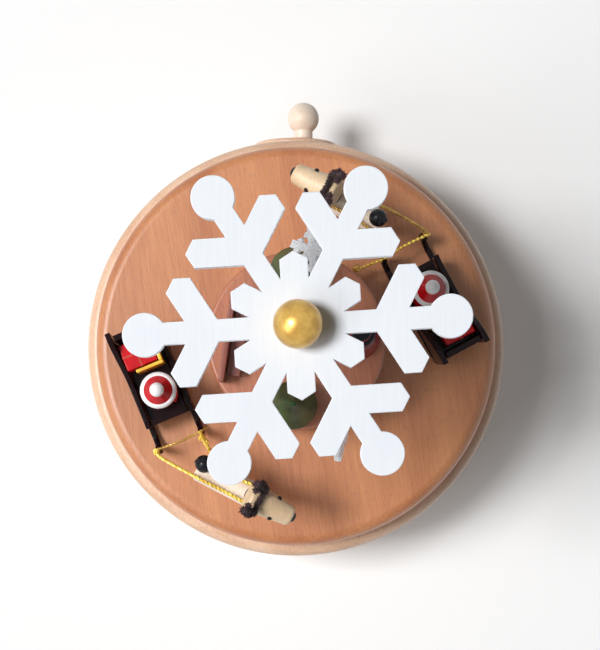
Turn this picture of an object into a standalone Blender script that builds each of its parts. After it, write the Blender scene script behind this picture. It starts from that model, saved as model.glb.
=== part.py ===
"""Hand-cranked wooden music box: a winter scene turns on a beech base under a large snowflake.

World frame: +Z up, the origin at the middle of the felt under the base, the crank at the back (+Y).
The crank shaft lies along Y. Its crown pinion turns the crown gear on the upright spindle, which carries the
turntable with everything on it, and its drum pinion turns the pinned drum beside the comb.
"""

import math

import bmesh
import bpy
from mathutils import Matrix, Vector

MM = 0.001
TURN = 2.0 * math.pi

# Fits
SEAT_GAP = 0.3 * MM  # between pieces that touch
RUNNING_GAP = 0.3 * MM  # round a turning shaft

# Fineness of round surfaces
LARGE_STEPS = 48
MEDIUM_STEPS = 36
DISC_STEPS = 32
MIDDLE_STEPS = 24
FIGURE_STEPS = 20
SMALL_STEPS = 16
ROD_STEPS = 12
PIN_STEPS = 8
WIRE_STEPS = 6
BALL_STEPS = 9
SWEEP_STEPS = 8
CURL_STEPS = 5
LARGE_FILLET = 2.0 * MM
LARGE_FILLET_STEPS = 3
SMALL_FILLET_STEPS = 2
SHARP_ANGLE = math.radians(35.0)
MERGE = 0.00001
GUIDE_SIZE = 5.0 * MM

# Base: a turned beech drum, open below, closed by a cover and standing on felt
BASE_RADIUS = 55.0 * MM
BASE_HEIGHT = 32.0 * MM
BASE_TOP_EDGE = 3.0 * MM
BASE_FOOT_EDGE = 1.5 * MM
BASE_WALL = 13.0 * MM
PLATE_CLEARANCE = 1.3 * MM  # of the opening under the bearing plate round the crown gear
PLATE_LEDGE = 3.0 * MM  # that the bearing plate lies on
PLATE_LEDGE_SHARE = 0.25  # of the base's roof
COVER_THICKNESS = 2.7 * MM
COVER_LEDGE = 6.0 * MM
FELT_THICKNESS = 1.2 * MM
FELT_MARGIN = 1.5 * MM
COVER_SCREWS = 3
SCREW_HEAD_RADIUS = 2.0 * MM
SCREW_HEAD_RIM = 0.25 * MM
SCREW_HEAD_DEPTH = 1.2 * MM
SCREW_SHANK_RADIUS = 1.0 * MM
SCREW_LENGTH = 8.0 * MM

# Turntable, pedestal and pole
TURNTABLE_RADIUS = 51.7 * MM
TURNTABLE_THICKNESS = 9.0 * MM
TURNTABLE_TOP_EDGE = 3.2 * MM
TURNTABLE_LOWER_EDGE = 1.2 * MM
TURNTABLE_LIFT = 1.0 * MM
PEDESTAL_RADIUS = 21.8 * MM
PEDESTAL_HEIGHT = 23.2 * MM
PEDESTAL_EDGE = 0.9 * MM
SPINDLE_RADIUS = 2.5 * MM
SPINDLE_GRIP = 12.0 * MM  # length held by the pedestal
POLE_RADIUS = 2.0 * MM
POLE_LENGTH = 69.0 * MM

# Snowflake on the pole, its gold ball and the two small snowflakes that hang below it
FLAKE_HEIGHT = 52.0 * MM  # from the pedestal's top to its underside
FLAKE_THICKNESS = 3.0 * MM
FLAKE_TURN = math.radians(3.6)
ARM_TIP_REACH = 32.5 * MM
ARM_TIP_RADIUS = 4.7 * MM
ARM_HALF_WIDTH = 2.38 * MM
BRANCH_ROOT = 19.0 * MM
BRANCH_LENGTH = 13.3 * MM
BRANCH_HALF_WIDTH = 3.06 * MM
PETAL_REACH = 15.85 * MM
PETAL_HALF_WIDTH = 3.0 * MM
TIP_ARC_STEPS = 7
BALL_RADIUS = 5.2 * MM
BALL_SEAT_RIM = 0.4 * MM  # of its flat underside round the pole's hole
SMALL_FLAKE_RADIUS = 6.0 * MM
SMALL_FLAKE_THICKNESS = 1.2 * MM
SMALL_ARM_HALF_WIDTH = 0.95 * MM
SMALL_BRANCH_ROOT = 3.3 * MM
SMALL_BRANCH_LENGTH = 1.9 * MM
SMALL_BRANCH_HALF_WIDTH = 0.65 * MM
HANGER_RADIUS = 0.3 * MM
# Each small snowflake: its wire's distance from the axis and direction, the wire's length, the direction of
# its own plane, and its lean from upright
HANGING = (
    (19.1 * MM, math.radians(64.0), 22.5 * MM, math.radians(-112.3), math.radians(58.0)),
    (25.3 * MM, math.radians(-67.7), 19.5 * MM, math.radians(78.0), math.radians(8.0)),
)

# Crank at the back of the base
SHAFT_HEIGHT = 17.0 * MM
SHAFT_RADIUS = 1.5 * MM
SHAFT_BACKSET = 2.0 * MM  # of the shaft's inner end from the spindle
CRANK_RADIUS = 11.2 * MM
CRANK_THICKNESS = 3.8 * MM
CRANK_EDGE = 0.8 * MM
CRANK_STANDOUT = 1.4 * MM  # of its outer face beyond the base's wall
CRANK_RECESS_MARGIN = 0.8 * MM
GRIP_REACH = 6.5 * MM  # from the shaft to the grip's pin
GRIP_TURN = math.radians(18.7)  # from upright towards +X
GRIP_BALL_RADIUS = 4.2 * MM
GRIP_NECK_RADIUS = 2.5 * MM
GRIP_NECK_LENGTH = 2.2 * MM
GRIP_PIN_RADIUS = 1.0 * MM
GRIP_PIN_REACH = 6.0 * MM  # of the pin inside the grip
BUSH_WALL = 1.2 * MM
SHAFT_SOCKET = 2.6 * MM  # of the shaft and the pin in the crank disc

# Gears: two pinions on the crank shaft, the crown gear on the spindle and the wheel on the drum's arbor
PINION_TEETH = 12
CROWN_TEETH = 36
WHEEL_TEETH = 24
CROWN_MODULE = 0.8 * MM
WHEEL_MODULE = 0.6 * MM
ADDENDUM = 0.8  # of a module
DEDENDUM = 1.1  # of a module
TOOTH_ROOT_SHARE = 0.46  # of the pitch
TOOTH_TIP_SHARE = 0.2
CROWN_FACE = 2.6 * MM
CROWN_PLATE = 3.0 * MM
CROWN_HUB_RADIUS = 5.0 * MM
CROWN_HUB_RISE = 1.52 * MM  # above its plate
WHEEL_FACE = 3.0 * MM
WHEEL_PLACE = 24.0 * MM  # along Y

# Movement: frame, pinned drum and comb
FRAME_THICKNESS = 1.5 * MM
FRAME_LOW = (-7.0 * MM, -18.0 * MM)
FRAME_HIGH = (33.0 * MM, 20.0 * MM)
TAB_THICKNESS = 1.5 * MM
TAB_BACKSET = 2.0 * MM  # of the inner tab from the footstep
TAB_RIM = 1.6 * MM  # of metal over a bore
DRUM_DROP = 2.8 * MM  # of the drum's axis below the crank shaft
DRUM_RADIUS = 6.3 * MM
DRUM_LOW_END = -15.5 * MM
DRUM_HIGH_END = 5.0 * MM
ARBOR_RADIUS = 1.0 * MM
ARBOR_END = 0.5 * MM  # of the arbor beyond its tab and its wheel
COMB_TEETH = 18
COMB_TOOTH_SHARE = 0.62
COMB_THICKNESS = 1.0 * MM
COMB_TIP_GAP = 0.4 * MM
COMB_TOOTH_LENGTH = 8.0 * MM
COMB_HEEL = 6.5 * MM
FOOTSTEP_RADIUS = 4.0 * MM
FOOTSTEP_HEIGHT = 3.0 * MM
PIVOT_RADIUS = 1.5 * MM
BUSH_FLANGE_RADIUS = 7.2 * MM
BUSH_FLANGE_THICKNESS = 1.4 * MM

# Trees on the pedestal: distance from the axis and direction
TREE_RADIUS = 6.1 * MM
TREE_HEIGHT = 22.0 * MM
TREE_TIP_RADIUS = 0.55 * MM
TREE_EDGE = 1.0 * MM
TREE_TRUNK_RADIUS = 1.6 * MM
TREE_TRUNK_HEIGHT = 4.0 * MM
TREE_PLACES = {
    "tree_north": (16.4 * MM, math.radians(92.0)),
    "tree_south": (15.9 * MM, math.radians(-93.0)),
}

# Figures, as shares of their head's radius, the coat's radius and the coat's height
HEAD_CROWN = 0.85  # of the flat crown above the head's middle
HEAD_NECK = 0.8  # of the neck below the head's middle
SHOULDER_WIDTH = 0.72
SHOULDER_LEVEL = 0.82
SHOULDER_EDGE = 1.5 * MM

# Bench and guest on the pedestal
BENCH_PLACE = (16.6 * MM, math.radians(179.0))
BENCH_TURN = math.radians(-8.2)
BENCH_BACK_LENGTH = 21.5 * MM
BENCH_BACK_HEIGHT = 7.5 * MM
BENCH_BOARD = 1.4 * MM
BENCH_EDGE = 0.25 * MM
BENCH_SEAT_LENGTH = 17.5 * MM
BENCH_SEAT_DEPTH = 3.2 * MM
BENCH_SEAT_HEIGHT = 4.0 * MM
GUEST_PLACE = (14.9 * MM, math.radians(3.3))
GUEST_COAT_RADIUS = 5.6 * MM
GUEST_HEIGHT = 17.0 * MM
GUEST_HEAD_RADIUS = 2.6 * MM
GUEST_HAT_RADIUS = 3.4 * MM
GUEST_HAT_CROWN_RADIUS = 2.3 * MM
GUEST_HAT_HEIGHT = 5.0 * MM
GUEST_HAT_BRIM = 0.9 * MM
GUEST_HAT_EDGE = 0.4 * MM

# Sleigh sets. In a sleigh's own frame X is forward, Y left towards the axis, and Z up from the turntable.
# Each sleigh: distance from the axis, direction and heading
SLEIGHS = (
    (36.6 * MM, math.radians(199.9), math.radians(-67.5)),
    (35.9 * MM, math.radians(21.1), math.radians(118.5)),
)
SLEIGH_WIDTH = 13.0 * MM
SLEIGH_BOARD = 1.4 * MM
SLEIGH_REAR = 17.9 * MM
SLEIGH_FRONT = 14.3 * MM
SLEIGH_REAR_HEIGHT = 19.5 * MM
SLEIGH_FRONT_HEIGHT = 10.5 * MM
SLEIGH_BOX_FRONT = 7.0 * MM
SLEIGH_NOSE = 0.3 * MM  # of the side panel beyond the box
SLEIGH_SHOULDER = 1.8 * MM  # along the sloped front end of the top edge
SLEIGH_LEVEL_DROP = 1.0 * MM  # of the level top edge below the front
SLEIGH_SWEEP_START = 0.44  # of the way back, where the top edge starts to rise
SLEIGH_REAR_RAKE = 0.8 * MM
SEAT_INSET = 1.0 * MM  # of the seat board's back from the side boards' rear
SEAT_RAKE = 0.6 * MM
SEAT_BACK_DROP = 1.0 * MM
DASH_DROP = 1.5 * MM
SLEIGH_FLOOR_HEIGHT = 4.8 * MM
RUNNER_THICKNESS = 1.8 * MM
RUNNER_CURL = 5.0 * MM
RUNNER_TIP_TURN = math.radians(30.0)  # of the curl past its foremost point
STRUT = 1.6 * MM
GIFT_SIZE = (7.6 * MM, 8.8 * MM, 9.5 * MM)
GIFT_BEHIND = 10.4 * MM  # of its middle behind the sleigh's own middle
GIFT_EDGE = 0.3 * MM
RIDER_ASIDE = 0.8 * MM
RIDER_COAT_RADIUS = 4.0 * MM
RIDER_HEIGHT = 14.5 * MM
RIDER_HEAD_RADIUS = 3.1 * MM
HAT_BRIM_RADIUS = 4.5 * MM
HAT_BRIM_HEIGHT = 2.2 * MM
HAT_CONE_HEIGHT = 3.0 * MM
HAT_BALL_RADIUS = 1.9 * MM
HAT_BALL_UNDERCUT = 0.14 * TURN  # of the ball's arc below its middle

# Reindeer. In its own frame X is forward, Z up from the turntable, and X 0 is the middle of its body.
# Each reindeer: distance from the axis, direction, heading, and how far its tail sits behind and to the left
REINDEER = (
    (38.7 * MM, math.radians(244.1), math.radians(-27.5), (7.2 * MM, 1.5 * MM)),
    (35.7 * MM, math.radians(65.0), math.radians(151.0), (5.4 * MM, -0.4 * MM)),
)
BODY_RADIUS = 3.4 * MM
BODY_LENGTH = 17.0 * MM
BODY_HEIGHT = 15.5 * MM
BODY_EDGE = 1.2 * MM
LEG_RADIUS = 1.05 * MM
LEG_SPREAD = 1.9 * MM
LEG_REACH = 6.2 * MM
NECK_RADIUS = 2.1 * MM
NECK_RISE = 8.5 * MM  # of its top above the body's middle line
HEAD_RISE = 9.9 * MM
MUZZLE_RISE = 7.1 * MM
NECK_FOOT = (6.4 * MM, BODY_HEIGHT)
NECK_TOP = (8.9 * MM, BODY_HEIGHT + NECK_RISE)
HEAD_BACK = (5.9 * MM, BODY_HEIGHT + HEAD_RISE)
HEAD_MUZZLE = (17.7 * MM, BODY_HEIGHT + MUZZLE_RISE)
HEAD_BACK_RADIUS = 3.85 * MM
HEAD_MUZZLE_RADIUS = 2.5 * MM
HEAD_EDGE = 0.9 * MM
ANTLER_THICKNESS = 1.8 * MM
ANTLER_BEHIND = 8.6 * MM  # of the antlers' foot behind the muzzle
ANTLER_SPAN = 8.8 * MM
ANTLER_HEIGHT = 6.4 * MM
ANTLER_LEAN = math.radians(30.0)
TAIL_RADIUS = 2.2 * MM
REIN_RADIUS = 0.5 * MM
REIN_STEPS = 3  # between two points of the route
REIN_LEVEL = BODY_HEIGHT + BODY_RADIUS + REIN_RADIUS  # over the body and round the neck
REIN_ASIDE = 2.3 * MM  # over the body
REIN_BESIDE_RUMP = (-7.4 * MM, 4.9 * MM)
REIN_PASS = 0.6 * MM  # between rein and tail
REIN_NECK_GAP = 0.1 * MM  # added to the seat gap round the neck
REIN_NECK_TURNS = (0.35 * TURN, 0.25 * TURN, 0.12 * TURN)
REIN_RISE = 2.2 * MM  # steeply from the runner

# Levels worked out from the sizes above
BASE_BOTTOM = FELT_THICKNESS + SEAT_GAP
BASE_TOP = BASE_BOTTOM + BASE_HEIGHT
CAVITY_RADIUS = BASE_RADIUS - BASE_WALL
RECESS_RADIUS = CAVITY_RADIUS + COVER_LEDGE
COVER_TOP = BASE_BOTTOM + COVER_THICKNESS
SCREW_CIRCLE = CAVITY_RADIUS + 0.5 * COVER_LEDGE
TURNTABLE_BOTTOM = BASE_TOP + TURNTABLE_LIFT
TURNTABLE_TOP = TURNTABLE_BOTTOM + TURNTABLE_THICKNESS
STAND = TURNTABLE_TOP + SEAT_GAP  # what stands on the turntable starts here
PEDESTAL_TOP = STAND + PEDESTAL_HEIGHT
PERCH = PEDESTAL_TOP + SEAT_GAP  # what stands on the pedestal starts here
FLAKE_BOTTOM = PEDESTAL_TOP + FLAKE_HEIGHT
FLAKE_TOP = FLAKE_BOTTOM + FLAKE_THICKNESS
POLE_HOLE = POLE_RADIUS + SEAT_GAP
BALL_SEAT_RADIUS = POLE_HOLE + BALL_SEAT_RIM
BALL_CENTRE = FLAKE_TOP + SEAT_GAP + math.sqrt(BALL_RADIUS**2 - BALL_SEAT_RADIUS**2)
CRANK_OUTER_FACE = BASE_RADIUS + CRANK_STANDOUT
CRANK_INNER_FACE = CRANK_OUTER_FACE - CRANK_THICKNESS
CRANK_RECESS_FLOOR = CRANK_INNER_FACE - RUNNING_GAP
CROWN_PITCH_RADIUS = 0.5 * CROWN_TEETH * CROWN_MODULE
CROWN_PITCH_LEVEL = SHAFT_HEIGHT + 0.5 * PINION_TEETH * CROWN_MODULE
CROWN_BOTTOM = CROWN_PITCH_LEVEL + DEDENDUM * CROWN_MODULE
CROWN_TOP = CROWN_BOTTOM + CROWN_PLATE
CROWN_HUB_TOP = CROWN_TOP + CROWN_HUB_RISE
CROWN_RADIUS = CROWN_PITCH_RADIUS + 0.5 * CROWN_FACE
CEILING = CROWN_HUB_TOP + RUNNING_GAP  # of the space for the movement
PLATE_OPENING = CROWN_RADIUS + PLATE_CLEARANCE
PLATE_RADIUS = PLATE_OPENING + PLATE_LEDGE
PLATE_SEAT = CEILING + PLATE_LEDGE_SHARE * (BASE_TOP - CEILING)
PLATE_BOTTOM = PLATE_SEAT + SEAT_GAP
FRAME_BOTTOM = COVER_TOP + SEAT_GAP
FRAME_TOP = FRAME_BOTTOM + FRAME_THICKNESS
DRUM_HEIGHT = SHAFT_HEIGHT - DRUM_DROP
WHEEL_DISTANCE = 0.5 * (PINION_TEETH + WHEEL_TEETH) * WHEEL_MODULE
DRUM_ASIDE = math.sqrt(WHEEL_DISTANCE**2 - DRUM_DROP**2)
FOOTSTEP_BOTTOM = FRAME_TOP + SEAT_GAP
FOOTSTEP_TOP = FOOTSTEP_BOTTOM + FOOTSTEP_HEIGHT
SLEIGH_INNER = 0.5 * SLEIGH_WIDTH - SLEIGH_BOARD
SEAT_TOP = SLEIGH_FLOOR_HEIGHT + SEAT_GAP + SLEIGH_BOARD

COLOURS = {
    "beech": ((0.62, 0.37, 0.24), 0.45, 0.0),
    "warm_beech": ((0.47, 0.21, 0.115), 0.45, 0.0),
    "pale_wood": ((0.85, 0.74, 0.58), 0.5, 0.0),
    "white_paint": ((0.88, 0.9, 0.94), 0.5, 0.0),
    "gold": ((0.85, 0.62, 0.22), 0.3, 0.9),
    "brass": ((0.75, 0.58, 0.28), 0.3, 1.0),
    "steel": ((0.6, 0.6, 0.62), 0.3, 1.0),
    "felt": ((0.05, 0.16, 0.09), 0.95, 0.0),
    "plywood": ((0.72, 0.56, 0.38), 0.6, 0.0),
    "green_paint": ((0.1, 0.16, 0.07), 0.25, 0.0),
    "red_brown": ((0.34, 0.13, 0.07), 0.5, 0.0),
    "black_paint": ((0.015, 0.013, 0.014), 0.25, 0.0),
    "maroon_paint": ((0.05, 0.012, 0.016), 0.22, 0.0),
    "red_paint": ((0.7, 0.03, 0.03), 0.35, 0.0),
    "antler_brown": ((0.06, 0.03, 0.025), 0.6, 0.0),
}


def material(name):
    """The painted or bare finish of that name, made once."""
    if name in bpy.data.materials:
        return bpy.data.materials[name]
    colour, roughness, metallic = COLOURS[name]
    made = bpy.data.materials.new(name)
    made.use_nodes = True
    shader = made.node_tree.nodes["Principled BSDF"]
    shader.inputs["Base Color"].default_value = (*colour, 1.0)
    shader.inputs["Roughness"].default_value = roughness
    shader.inputs["Metallic"].default_value = metallic
    return made


def polar(radius, angle):
    """The point at that distance and direction in a plane."""
    return Vector((radius * math.cos(angle), radius * math.sin(angle)))


def rounded(corners, closed=True):
    """The path through corners (x, y) or (x, y, fillet), a fillet being limited by the sides beside it."""
    path = []
    for index, (x, y, *fillet) in enumerate(corners):
        inside = closed or 0 < index < len(corners) - 1
        if not fillet or not inside:
            path.append((x, y))
            continue
        here = Vector((x, y))
        back = Vector(corners[index - 1][:2]) - here
        ahead = Vector(corners[(index + 1) % len(corners)][:2]) - here
        half = 0.5 * back.angle(ahead)
        reach = min(fillet[0] / math.tan(half), 0.49 * back.length, 0.49 * ahead.length)
        radius = reach * math.tan(half)
        centre = here + (back.normalized() + ahead.normalized()).normalized() * radius / math.sin(half)
        spoke = here + back.normalized() * reach - centre
        sweep = (math.pi - 2.0 * half) * (-1.0 if back.cross(ahead) > 0 else 1.0)
        steps = LARGE_FILLET_STEPS if radius > LARGE_FILLET else SMALL_FILLET_STEPS
        for step in range(steps + 1):
            angle = sweep * step / steps
            point = centre + Matrix.Rotation(angle, 2) @ spoke
            path.append((point.x, point.y))
    return path


def arc(centre, radius, start, end, steps):
    """Points (x, y) of a round stretch about a centre."""
    angles = [start + (end - start) * step / steps for step in range(steps + 1)]
    return [(centre[0] + radius * math.cos(angle), centre[1] + radius * math.sin(angle)) for angle in angles]


def empty(name, place=(0.0, 0.0, 0.0), heading=0.0, parent=None):
    """A guide that pieces hang on: a joint's axis, or a figure's place."""
    guide = bpy.data.objects.new(name, None)
    guide.empty_display_size = GUIDE_SIZE
    guide.location = place
    guide.rotation_euler = (0.0, 0.0, heading)
    guide.parent = parent
    PARTS.objects.link(guide)
    return guide


def placed(name, mesh, finish=None, place=(0.0, 0.0, 0.0), turn=(0.0, 0.0, 0.0), parent=None):
    """An object of that mesh, at its place under its parent."""
    made = bpy.data.objects.new(name, mesh)
    made.location = place
    made.rotation_euler = turn
    made.parent = parent
    PARTS.objects.link(made)
    if finish:
        mesh.materials.append(material(finish))
    return made


def applied(made):
    """Makes the modifiers' result the object's own mesh, shaded smooth but for its sharp edges."""
    bpy.context.view_layer.update()
    graph = bpy.context.evaluated_depsgraph_get()
    mesh = bpy.data.meshes.new_from_object(made.evaluated_get(graph))
    mesh.name = made.name
    made.modifiers.clear()
    made.data = mesh
    mesh.shade_smooth()
    mesh.set_sharp_from_angle(angle=SHARP_ANGLE)
    return made


def turned(name, profile, finish=None, steps=MIDDLE_STEPS, **where):
    """A turned piece: (radius, height) points from top to bottom down its outer side, spun round its Z."""
    profile = [(radius if radius > MERGE else 0.0, height) for radius, height in profile]
    ring = profile[0][0] > 0.0 or profile[-1][0] > 0.0
    edges = [(index, index + 1) for index in range(len(profile) - 1)]
    if ring:
        edges.append((len(profile) - 1, 0))
    mesh = bpy.data.meshes.new(name)
    mesh.from_pydata([(radius, 0.0, height) for radius, height in profile], edges, [])
    made = placed(name, mesh, finish, **where)
    screw = made.modifiers.new("Turn", "SCREW")
    screw.steps = steps
    screw.render_steps = steps
    screw.use_merge_vertices = True
    screw.merge_threshold = MERGE
    return applied(made)


def board(name, outlines, thickness, finish=None, **where):
    """A flat piece: closed outlines in its own XY plane, the later ones being holes, centred on Z 0."""
    curve = bpy.data.curves.new(name, "CURVE")
    curve.dimensions = "2D"
    curve.fill_mode = "BOTH"
    curve.extrude = 0.5 * thickness
    for outline in outlines:
        spline = curve.splines.new("POLY")
        spline.points.add(len(outline) - 1)
        for point, (x, y) in zip(spline.points, outline):
            point.co = (x, y, 0.0, 1.0)
        spline.use_cyclic_u = True
    drawn = bpy.data.objects.new(name, curve)
    PARTS.objects.link(drawn)
    return from_curve(drawn, name, finish, **where)


def from_curve(drawn, name, finish, **where):
    """The closed mesh of a curve, which is then removed."""
    bpy.context.view_layer.update()
    graph = bpy.context.evaluated_depsgraph_get()
    mesh = bpy.data.meshes.new_from_object(drawn.evaluated_get(graph))
    curve = drawn.data
    bpy.data.objects.remove(drawn)
    bpy.data.curves.remove(curve)
    solid = bmesh.new()
    solid.from_mesh(mesh)
    bmesh.ops.remove_doubles(solid, verts=solid.verts, dist=MERGE)
    bmesh.ops.recalc_face_normals(solid, faces=solid.faces)
    solid.to_mesh(mesh)
    solid.free()
    mesh.name = name
    mesh.materials.clear()
    made = placed(name, mesh, finish, **where)
    return applied(made)


def block(name, low, high, finish=None, edge=0.0, **where):
    """A box between two corners of its own frame, with its edges eased if asked."""
    low, high = Vector(low), Vector(high)
    solid = bmesh.new()
    bmesh.ops.create_cube(solid, size=1.0)
    bmesh.ops.scale(solid, vec=high - low, verts=solid.verts)
    bmesh.ops.translate(solid, vec=0.5 * (low + high), verts=solid.verts)
    mesh = bpy.data.meshes.new(name)
    solid.to_mesh(mesh)
    solid.free()
    made = placed(name, mesh, finish, **where)
    if edge:
        bevel = made.modifiers.new("Eased", "BEVEL")
        bevel.width = edge
        bevel.segments = 1
    return applied(made)


def rod(name, radius, start, end, finish=None, steps=SMALL_STEPS, end_radius=None, **where):
    """A straight round rod, or a cone where end_radius is given, between two points of its own frame."""
    start, end = Vector(start), Vector(end)
    along = end - start
    solid = bmesh.new()
    bmesh.ops.create_cone(
        solid,
        cap_ends=True,
        segments=steps,
        radius1=radius,
        radius2=radius if end_radius is None else end_radius,
        depth=along.length,
    )
    turn = Vector((0.0, 0.0, 1.0)).rotation_difference(along).to_matrix().to_4x4()
    solid.transform(Matrix.Translation(0.5 * (start + end)) @ turn)
    mesh = bpy.data.meshes.new(name)
    solid.to_mesh(mesh)
    solid.free()
    return applied(placed(name, mesh, finish, **where))


def combined(made, others, operation):
    """Unites the object with others, or cuts them from it, and removes them."""
    for other in others:
        step = made.modifiers.new(operation.title(), "BOOLEAN")
        step.operation = operation
        step.solver = "EXACT"
        step.object = other
    applied(made)
    for other in others:
        mesh = other.data
        bpy.data.objects.remove(other)
        bpy.data.meshes.remove(mesh)
    return made


def cut(made, *cutters):
    return combined(made, cutters, "DIFFERENCE")


def united(made, *others):
    return combined(made, others, "UNION")


def around_y(angle=0.0):
    """The turn that lays a piece's own Z along world +Y and its own X at that angle below world +X."""
    return (Matrix.Rotation(angle, 4, "Y") @ Matrix.Rotation(-0.5 * math.pi, 4, "X")).to_euler()


def gear_outline(teeth, module):
    """The outline of a gear with straight-flanked teeth, one tooth pointing along +X."""
    pitch_radius = 0.5 * teeth * module
    root, tip = pitch_radius - DEDENDUM * module, pitch_radius + ADDENDUM * module
    outline = []
    for tooth in range(teeth):
        middle = TURN * tooth / teeth
        for radius, share in (
            (root, -TOOTH_ROOT_SHARE),
            (tip, -TOOTH_TIP_SHARE),
            (tip, TOOTH_TIP_SHARE),
            (root, TOOTH_ROOT_SHARE),
        ):
            outline.append(tuple(polar(radius, middle + 0.5 * share * TURN / teeth)))
    return outline


def circle(radius, steps=SMALL_STEPS):
    """A closed round outline."""
    return [tuple(polar(radius, TURN * step / steps)) for step in range(steps)]


def star(half_sector, turn=0.0):
    """A six-armed outline from the points of one half sector, given from the gap to the arm's tip."""
    sector = [(x, -y) for x, y in half_sector] + half_sector[::-1]
    outline = []
    for arm in range(6):
        for point in sector:
            spot = Matrix.Rotation(turn + arm * TURN / 6, 2) @ Vector(point)
            if not outline or (spot - outline[-1]).length > MERGE:
                outline.append(spot)
    if (outline[0] - outline[-1]).length < MERGE:
        outline.pop()
    return [tuple(spot) for spot in outline]


def large_flake_half():
    """One half sector of the large snowflake, from its petal's point to the arm's round tip."""
    arm, branch, petal = ARM_HALF_WIDTH, BRANCH_HALF_WIDTH, PETAL_HALF_WIDTH
    slope = math.tan(TURN / 6)
    along = polar(1.0, TURN / 12)
    across = Vector((-along.y, along.x))
    shoulder = along * (PETAL_REACH - petal / slope) - across * petal
    notch = along * ((arm + petal * along.x) / along.y) - across * petal
    out = polar(1.0, TURN / 6)
    side = Vector((-out.y, out.x))
    root = Vector((BRANCH_ROOT, 0.0))
    inner = root + out * ((arm - branch * side.y) / out.y) + side * branch
    outer = root + out * ((arm + branch * side.y) / out.y) - side * branch
    tip_start = math.pi - math.asin(arm / ARM_TIP_RADIUS)
    return [
        tuple(along * PETAL_REACH),
        tuple(shoulder),
        tuple(notch),
        tuple(inner),
        tuple(root + out * (BRANCH_LENGTH - branch / slope) + side * branch),
        tuple(root + out * BRANCH_LENGTH),
        tuple(root + out * (BRANCH_LENGTH - branch / slope) - side * branch),
        tuple(outer),
        *arc((ARM_TIP_REACH, 0.0), ARM_TIP_RADIUS, tip_start, 0.0, TIP_ARC_STEPS),
    ]


def small_flake_half():
    """One half sector of a small snowflake, from the gap between two arms to the arm's square end."""
    arm, branch = SMALL_ARM_HALF_WIDTH, SMALL_BRANCH_HALF_WIDTH
    out = polar(1.0, TURN / 6)
    side = Vector((-out.y, out.x))
    root = Vector((SMALL_BRANCH_ROOT, 0.0))
    inner = root + out * ((arm - branch * side.y) / out.y) + side * branch
    outer = root + out * ((arm + branch * side.y) / out.y) - side * branch
    return [
        (arm / math.tan(TURN / 12), arm),
        tuple(inner),
        tuple(root + out * SMALL_BRANCH_LENGTH + side * branch),
        tuple(root + out * SMALL_BRANCH_LENGTH - side * branch),
        tuple(outer),
        (SMALL_FLAKE_RADIUS, arm),
    ]


def smooth_route(points, steps):
    """Points of the smooth curve through a route's own points."""
    ends = [points[0] * 2.0 - points[1]] + points + [points[-1] * 2.0 - points[-2]]
    path = []
    for index in range(1, len(ends) - 2):
        before, start, end, after = ends[index - 1 : index + 3]
        for step in range(steps):
            t = step / steps
            path.append(
                0.5
                * (
                    2.0 * start
                    + (end - before) * t
                    + (2.0 * before - 5.0 * start + 4.0 * end - after) * t**2
                    + (3.0 * start - before - 3.0 * end + after) * t**3
                )
            )
    path.append(points[-1])
    return path


def cord(name, route, radius, finish, parent=None):
    """A round cord along the smooth curve through its route."""
    curve = bpy.data.curves.new(name, "CURVE")
    curve.dimensions = "3D"
    curve.bevel_depth = radius
    curve.bevel_resolution = 1
    curve.use_fill_caps = True
    path = smooth_route(route, REIN_STEPS)
    spline = curve.splines.new("POLY")
    spline.points.add(len(path) - 1)
    for point, place in zip(spline.points, path):
        point.co = (*place, 1.0)
    drawn = bpy.data.objects.new(name, curve)
    PARTS.objects.link(drawn)
    return from_curve(drawn, name, finish, parent=parent)


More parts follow.
